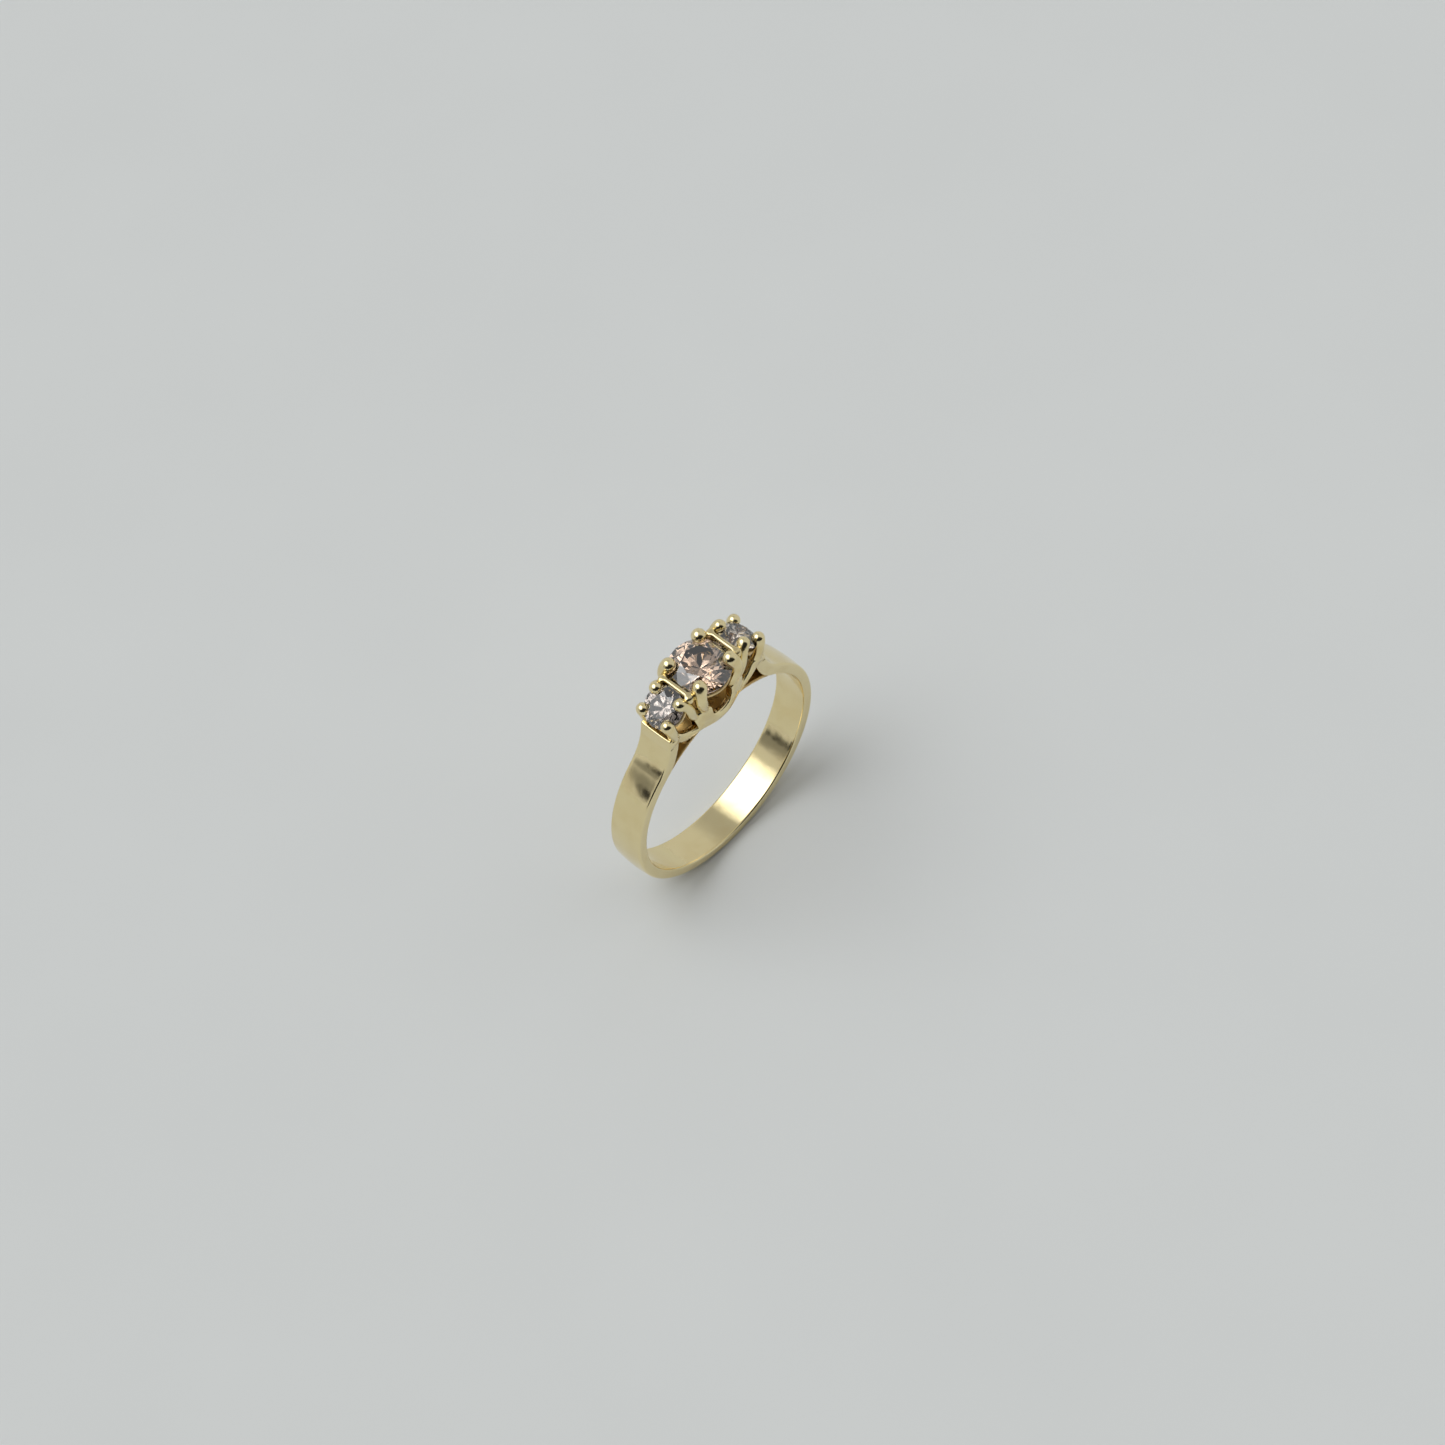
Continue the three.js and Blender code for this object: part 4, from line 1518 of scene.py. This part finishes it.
@dataclass(frozen=True)
class ClawSet:
    """All twelve claws, laid out from the gallery's posts and the stones.

    Args:
        layout: The ring's sizes.
        gallery: The plate that the claws stand on.
    """

    layout: Layout
    gallery: Gallery
    center_bead: float = 0.56
    side_bead: float = 0.48
    center_height: float = 0.62
    side_height: float = 0.36
    center_angle: float = 43.0
    inner_angle: float = 51.0
    outer_angle: float = 53.0
    center_splay: float = 0.25
    side_splay: float = 0.15
    center_hook: float = 0.85
    side_hook: float = 0.6
    stone_gap: float = 0.012
    center_tip_inset: float = 0.14
    side_tip_inset: float = 0.1

    def foot_point(self, foot: Array) -> Array:
        """The middle of the plate at a foot in the X-Z plane."""
        lay = self.layout
        y = -float(lay.gallery_face(foot[0])) + lay.gallery_thickness / 2
        return np.array([foot[0], y, foot[1]])

    def over_side_stone(self, angle: float, way: float) -> Array:
        """A bead's place over the right stone's edge.

        Args:
            angle: Angle around the stone from the row of stones, in degrees.
            way: 1 for the stone's outer half and -1 for its inner one.

        Returns:
            The bead's middle.
        """
        lay = self.layout
        reach = lay.side_radius - self.side_tip_inset
        turn = math.radians(angle)
        point = lay.side_center + lay.side_outward * (way * reach * math.cos(turn))
        point = point + lay.side_axis * self.side_height
        point[1] = -reach * math.sin(turn)
        return point

    def hooked_way(self, tip: Array, girdle: Array, axis: Array, slope: float) -> Array:
        """The direction in which a claw's tip hooks over its stone.

        It is the stone's axis less the slope times the direction out from that axis to the tip.

        Args:
            tip: Middle of the bead.
            girdle: Middle of the stone's girdle.
            axis: The stone's axis.
            slope: How strongly the tip hooks.

        Returns:
            The direction.
        """
        out = tip - girdle
        return unit(axis - slope * unit(out - axis * float(out @ axis)))

    def splayed_way(self, lean: float, slope: float) -> Array:
        """The direction of a foot that leans along the row and splays to the front.

        Args:
            lean: Angle from upright along the row, in radians.
            slope: How strongly the foot splays.

        Returns:
            The direction.
        """
        return unit(np.array([math.sin(lean), -slope, math.cos(lean)]))

    def claw(self, kind: ClawKind) -> Claw:
        """Lays out one claw of the front right quarter.

        Args:
            kind: Which claw.

        Returns:
            The claw.
        """
        lay, plate = self.layout, self.gallery
        if kind is ClawKind.CENTER:
            reach = lay.center_radius - self.center_tip_inset
            turn = math.radians(self.center_angle)
            height = lay.center_girdle + self.center_height
            tip = np.array([reach * math.cos(turn), -reach * math.sin(turn), height])
            girdle, up = np.array([0.0, 0.0, lay.center_girdle]), np.array([0.0, 0.0, 1.0])
            foot_way = self.splayed_way(math.atan(self.center_splay), self.center_splay)
            tip_way = self.hooked_way(tip, girdle, up, self.center_hook)
            foot, root = self.foot_point(plate.center_foot), self.foot_point(np.array([1.3, 9.55]))
            return Claw(foot, foot_way, tip, tip_way, root, 1.15, plate.center_wire, self.center_bead)
        if kind is ClawKind.INNER:
            lean, foot, run, root = plate.inner_lean, plate.inner_foot, 0.95, np.array([1.4, 9.45])
            tip = self.over_side_stone(self.inner_angle, -1.0)
        else:
            lean, foot, run, root = plate.outer_lean, plate.outer_foot, 0.7, np.array([4.42, 9.45])
            tip = self.over_side_stone(self.outer_angle, 1.0)
        foot_way = self.splayed_way(lean, self.side_splay)
        tip_way = self.hooked_way(tip, lay.side_center, lay.side_axis, self.side_hook)
        foot, root = self.foot_point(foot), self.foot_point(root)
        return Claw(foot, foot_way, tip, tip_way, root, run, plate.side_wire, self.side_bead)

    def build(self, material: bpy.types.Material) -> None:
        """Builds each kind of claw in the four quarters and notches it round its stone.

        Args:
            material: The claws' finish.
        """
        for kind in ClawKind:
            surface = self.claw(kind).build_surface()
            for flank in Flank:
                for side in (Side.RIGHT, Side.LEFT):
                    stone = SetStone(Side.CENTER if kind is ClawKind.CENTER else side, self.layout)
                    quarter = np.array([side.value, flank.value, 1.0])
                    rings = stone.seat(surface.rings * quarter, self.stone_gap)
                    poles = tuple(stone.seat(pole * quarter, self.stone_gap) for pole in surface.poles)
                    name = f"{kind.value}_{flank.name.lower()}_{side.name.lower()}"
                    metal_piece(name, Surface(rings, poles=poles, wear=surface.wear), material)


# ---- Collars and cross bars ------------------------------------------------------------------------------


@dataclass(frozen=True)
class Collar:
    """The ring of metal that a stone's pavilion rests in.

    Args:
        stone: The stone over it.
    """

    stone: SetStone
    height: float = 0.3
    wall: float = 0.36
    center_drop: float = 0.5
    side_drop: float = 0.42
    clearance: float = 0.02
    rounding: float = 0.07
    around: int = 96

    def build(self, material: bpy.types.Material) -> None:
        """Turns the collar's section about the stone's axis.

        Args:
            material: The collar's finish.
        """
        cut = self.stone.brilliant
        drop = self.center_drop if self.stone.side is Side.CENTER else self.side_drop
        slope = math.tan(math.radians(cut.pavilion_angle))
        bore_top = cut.radius - (drop - cut.girdle_share * cut.radius) / slope + self.clearance
        bore_low = bore_top - self.height / slope
        outside = bore_top + self.wall
        top, low = -drop, -drop - self.height
        corners = np.array([[bore_low, low], [outside, low], [outside, top], [bore_top, top]])
        section = rounded_polygon(corners, self.rounding)
        turn = np.linspace(0.0, 2 * np.pi, self.around, endpoint=False)[:, None]
        x, y = section[:, 0] * np.cos(turn), section[:, 0] * np.sin(turn)
        rings = np.stack([x, y, np.broadcast_to(section[:, 1], x.shape)], -1)
        name = f"{self.stone.side.name.lower()}_collar"
        metal_piece(name, Surface(self.stone.place(rings), looped=True), material)


@dataclass(frozen=True)
class CrossBar:
    """The bar between a side stone and the centre stone, with a knob at each end.

    Args:
        layout: The ring's sizes.
        claws: The claws that the bar runs between.
        side: Left or right.
    """

    layout: Layout
    claws: ClawSet
    side: Side
    width: float = 0.42
    height: float = 0.9
    rise: float = 0.45
    end_width: float = 0.86
    knob_length: float = 0.4
    taper: float = 0.3
    steps: int = 80

    def build(self, material: bpy.types.Material) -> None:
        """Carries a soft-cornered section across the ring; its width swells to the knobs.

        The section is a superellipse: a power of the cosine across and of the sine upright.

        Args:
            material: The bar's finish.
        """
        center_tip = self.claws.claw(ClawKind.CENTER).tip
        inner_tip = self.claws.claw(ClawKind.INNER).tip
        middle = (center_tip[0] + inner_tip[0]) / 2
        end = abs(center_tip[1]) + 0.12
        neck = end - self.knob_length
        share = np.linspace(-1.0, 1.0, self.steps + 1)[1:-1]
        y = end * np.sin(share * np.pi / 2)
        swell = smooth_step((np.abs(y) - neck + self.taper) / self.taper)
        half = (self.width + (self.end_width - self.width) * swell) / 2
        rounding = 0.34
        closing = np.sqrt(1 - np.clip((np.abs(y) - end + rounding) / rounding, 0, 1) ** 2)
        turn = np.linspace(0.0, 2 * np.pi, 40, endpoint=False)
        fullness = 0.55
        across = np.sign(np.cos(turn)) * np.abs(np.cos(turn)) ** fullness
        upright = np.sign(np.sin(turn)) * np.abs(np.sin(turn)) ** fullness
        x = half[:, None] * closing[:, None] * across[None]
        flat_low = np.where(upright < 0, 0.6, 1.0) * upright
        z = self.height / 2 * (1 + closing[:, None] * flat_low[None])
        foot_height = self.layout.center_girdle + self.rise - self.height
        place = np.array([self.side.value * middle, 0.0, foot_height])
        rings = np.stack([x, np.broadcast_to(y[:, None], x.shape), z], -1) + place
        poles = tuple(np.array([0.0, way * end, self.height / 2]) + place for way in (-1.0, 1.0))
        for stone in (SetStone(Side.CENTER, self.layout), SetStone(self.side, self.layout)):
            rings = stone.seat(rings, self.claws.stone_gap)
        metal_piece(f"{self.side.name.lower()}_cross_bar", Surface(rings, poles=poles), material)


def build_stone(stone: SetStone, material: bpy.types.Material) -> None:
    """Makes a faceted stone: every facet is one flat polygon, and shared corners are one point.

    Args:
        stone: The stone and its place.
        material: Its finish.
    """
    groups = stone.brilliant.facets()
    corners = np.concatenate([group.reshape(-1, 3) for group in groups])
    keys = np.round(corners, 4) + 0.0
    _, first, number = np.unique(keys, axis=0, return_index=True, return_inverse=True)
    number = number.ravel()
    ends = np.cumsum([group.shape[0] * group.shape[1] for group in groups])[:-1]
    faces = [part.reshape(group.shape[:2]) for part, group in zip(np.split(number, ends), groups)]
    node = f"{stone.side.name.lower()}_stone"
    piece = new_object(f"{node}_finished", stone.place(corners[first]), faces, material)
    stand_for(piece, node)


# ---- Floor, light and camera -------------------------------------------------------------------------------


@dataclass(frozen=True)
class LightPatch:
    """A soft round patch of light or shade in the room.

    Args:
        azimuth: Direction around the ring, in degrees: 0 in front, 90 towards +X.
        elevation: Height over the horizon, in degrees.
        reach: Angle from its middle to its faded edge, in degrees.
        core: Angle inside which it is at full strength, in degrees.
        strength: Added brightness; negative takes light away.
    """

    azimuth: float
    elevation: float
    reach: float
    core: float
    strength: float

    @property
    def direction(self) -> tuple[float, float, float]:
        """The direction towards the patch."""
        a, e = math.radians(self.azimuth), math.radians(self.elevation)
        return (math.sin(a) * math.cos(e), -math.cos(a) * math.cos(e), math.sin(e))


@dataclass(frozen=True)
class Studio:
    """A pale floor, a bright soft room and the camera.

    Args:
        floor_height: Height of the floor, in millimetres.
    """

    floor_height: float
    floor_color: tuple[float, float, float] = (0.70, 0.715, 0.71)
    mottle_share: float = 0.96
    mottle_scale: float = 60.0
    room_color: tuple[float, float, float] = (0.60, 0.606, 0.604)
    patches: tuple[LightPatch, ...] = (
        LightPatch(-142.0, 60.0, 31.0, 8.0, 4.2),
        LightPatch(-88.0, 55.0, 22.0, 8.0, 2.2),
        LightPatch(-113.0, 15.0, 10.0, 4.0, -0.62),
        LightPatch(-108.5, 7.5, 6.0, 3.2, -0.97),
        LightPatch(-34.0, 8.0, 66.0, 54.0, -0.97),
        LightPatch(138.0, 60.0, 25.0, 8.0, -0.3),
    )
    azimuth: float = -41.968
    elevation: float = 58.084
    roll: float = -7.182
    distance: float = 279.59
    lens: float = 95.85
    aim: tuple[float, float, float] = (2.368, 1.009, 1.453)

    def build_floor(self) -> None:
        """Lays a wide pale floor under the ring with a very faint mottle."""
        size = 1500.0
        corners = np.array([[-size, -size], [size, -size], [size, size], [-size, size]])
        points = np.column_stack([corners, np.full(4, self.floor_height)])
        darker = tuple(self.mottle_share * c for c in self.floor_color)
        material, wire, shader = start_material("pale_floor")
        shader.inputs["Roughness"].default_value = 0.9
        shader.inputs["Specular IOR Level"].default_value = 0.1
        place = wire.add("ShaderNodeTexCoord")
        mottle = wire.add("ShaderNodeTexNoise")
        mottle.inputs["Scale"].default_value = self.mottle_scale
        wire.join(place.outputs["Object"], mottle.inputs["Vector"])
        tone = wire.blend(mottle.outputs["Fac"], self.floor_color, darker)
        wire.join(tone, shader.inputs["Base Color"])
        floor = new_object("floor", points, [np.array([[0, 1, 2, 3]])], material)

    def build_light(self) -> None:
        """Fills the room with an even glow and adds the patches of light and shade to it."""
        world = bpy.data.worlds.new("studio_room")
        bpy.context.scene.world = world
        world.use_nodes = True
        wire = Wiring(world.node_tree)
        glow = world.node_tree.nodes["Background"]
        place = wire.add("ShaderNodeTexCoord")
        total = None
        for patch in self.patches:
            toward = wire.add("ShaderNodeVectorMath", operation="DOT_PRODUCT")
            toward.inputs[1].default_value = patch.direction
            wire.join(place.outputs["Generated"], toward.inputs[0])
            low, high = math.cos(math.radians(patch.reach)), math.cos(math.radians(patch.core))
            share = wire.remap(toward.outputs["Value"], low, high, 0.0, patch.strength)
            total = share if total is None else wire.math("ADD", total, share)
        bright = wire.math("MAXIMUM", wire.math("ADD", total, 1.0), 0.02)
        tone = wire.add("ShaderNodeVectorMath", operation="SCALE")
        tone.inputs[0].default_value = self.room_color
        wire.join(bright, tone.inputs["Scale"])
        wire.join(tone.outputs[0], glow.inputs["Color"])

    def build_camera(self) -> None:
        """Sets the camera on its sight line through the aim point, turned about it by the roll."""
        a, e, turn = (math.radians(v) for v in (self.azimuth, self.elevation, self.roll))
        back = np.array([math.sin(a) * math.cos(e), -math.cos(a) * math.cos(e), math.sin(e)])
        level = np.array([math.cos(a), math.sin(a), 0.0])
        upright = np.cross(back, level)
        right = math.cos(turn) * level + math.sin(turn) * upright
        up = np.cross(back, right)
        place = np.array(self.aim) + back * self.distance
        data = bpy.data.cameras.new("camera")
        data.lens = self.lens
        data.sensor_width = 36.0
        data.clip_start = 0.001
        data.clip_end = 20.0
        camera = bpy.data.objects.new("camera", data)
        matrix = np.eye(4)
        matrix[:3, :3] = np.stack([right, up, back], 1)
        matrix[:3, 3] = place * MILLIMETRE
        camera.matrix_world = Matrix(matrix.tolist())
        bpy.context.scene.collection.objects.link(camera)
        bpy.context.scene.camera = camera

    def build(self) -> None:
        """Builds the camera, the floor and the light, and shows colours as they are."""
        self.build_camera()
        self.build_floor()
        self.build_light()
        bpy.context.scene.view_settings.view_transform = "Standard"


def main() -> None:
    """Builds the studio and then the ring, sub-assembly by sub-assembly."""
    logging.basicConfig(level=logging.INFO, format="%(name)s: %(message)s")
    layout = Layout.from_frame()
    Studio(floor_height=-layout.band_radius).build()

    satin = GoldFinish(
        "satin_gold", shine=0.11, dull=0.2, line_depth=0.002, wave_depth=0.014, pit_depth=0.03
    ).make()
    polished = GoldFinish("polished_gold").make()
    plate_gold = GoldFinish("plate_gold", shine=0.14, dull=0.24, wave_depth=0.03).make()
    # Painted shade: a darker, browner copy of the gold for the rail and collars, which sit in shadow under
    # the head.
    shaded = GoldFinish(
        "painted_shade_gold", color=(0.78, 0.6, 0.3), deep_color=(0.55, 0.38, 0.16), shine=0.25, dull=0.4
    ).make()
    # The left stone's tint is darkened as painted shade and the right one's lightened as painted light, for
    # how light falls along the row; their brown is the stones' own colour.
    stone_finishes = {
        Side.LEFT: DiamondFinish("smoke_brown_diamond", (0.48, 0.42, 0.38), (0.34, 0.28, 0.25)),
        Side.CENTER: DiamondFinish("rose_brown_diamond", (0.62, 0.46, 0.35), (0.46, 0.31, 0.22)),
        Side.RIGHT: DiamondFinish("pale_brown_diamond", (0.92, 0.81, 0.7), (0.84, 0.71, 0.59)),
    }

    shank = Shank(layout)
    shank.build_band(satin)
    shank.build_rail(shaded)
    galleries = {flank: Gallery(layout, flank) for flank in Flank}
    for gallery in galleries.values():
        gallery.build(plate_gold)
    claws = ClawSet(layout, galleries[Flank.FRONT])
    claws.build(polished)
    for side in (Side.LEFT, Side.RIGHT):
        EndWall(layout, side).build(satin)
        CrossBar(layout, claws, side).build(polished)
    for side in Side:
        stone = SetStone(side, layout)
        Collar(stone).build(shaded)
        build_stone(stone, stone_finishes[side].make())


if __name__ == "__main__":
    main()
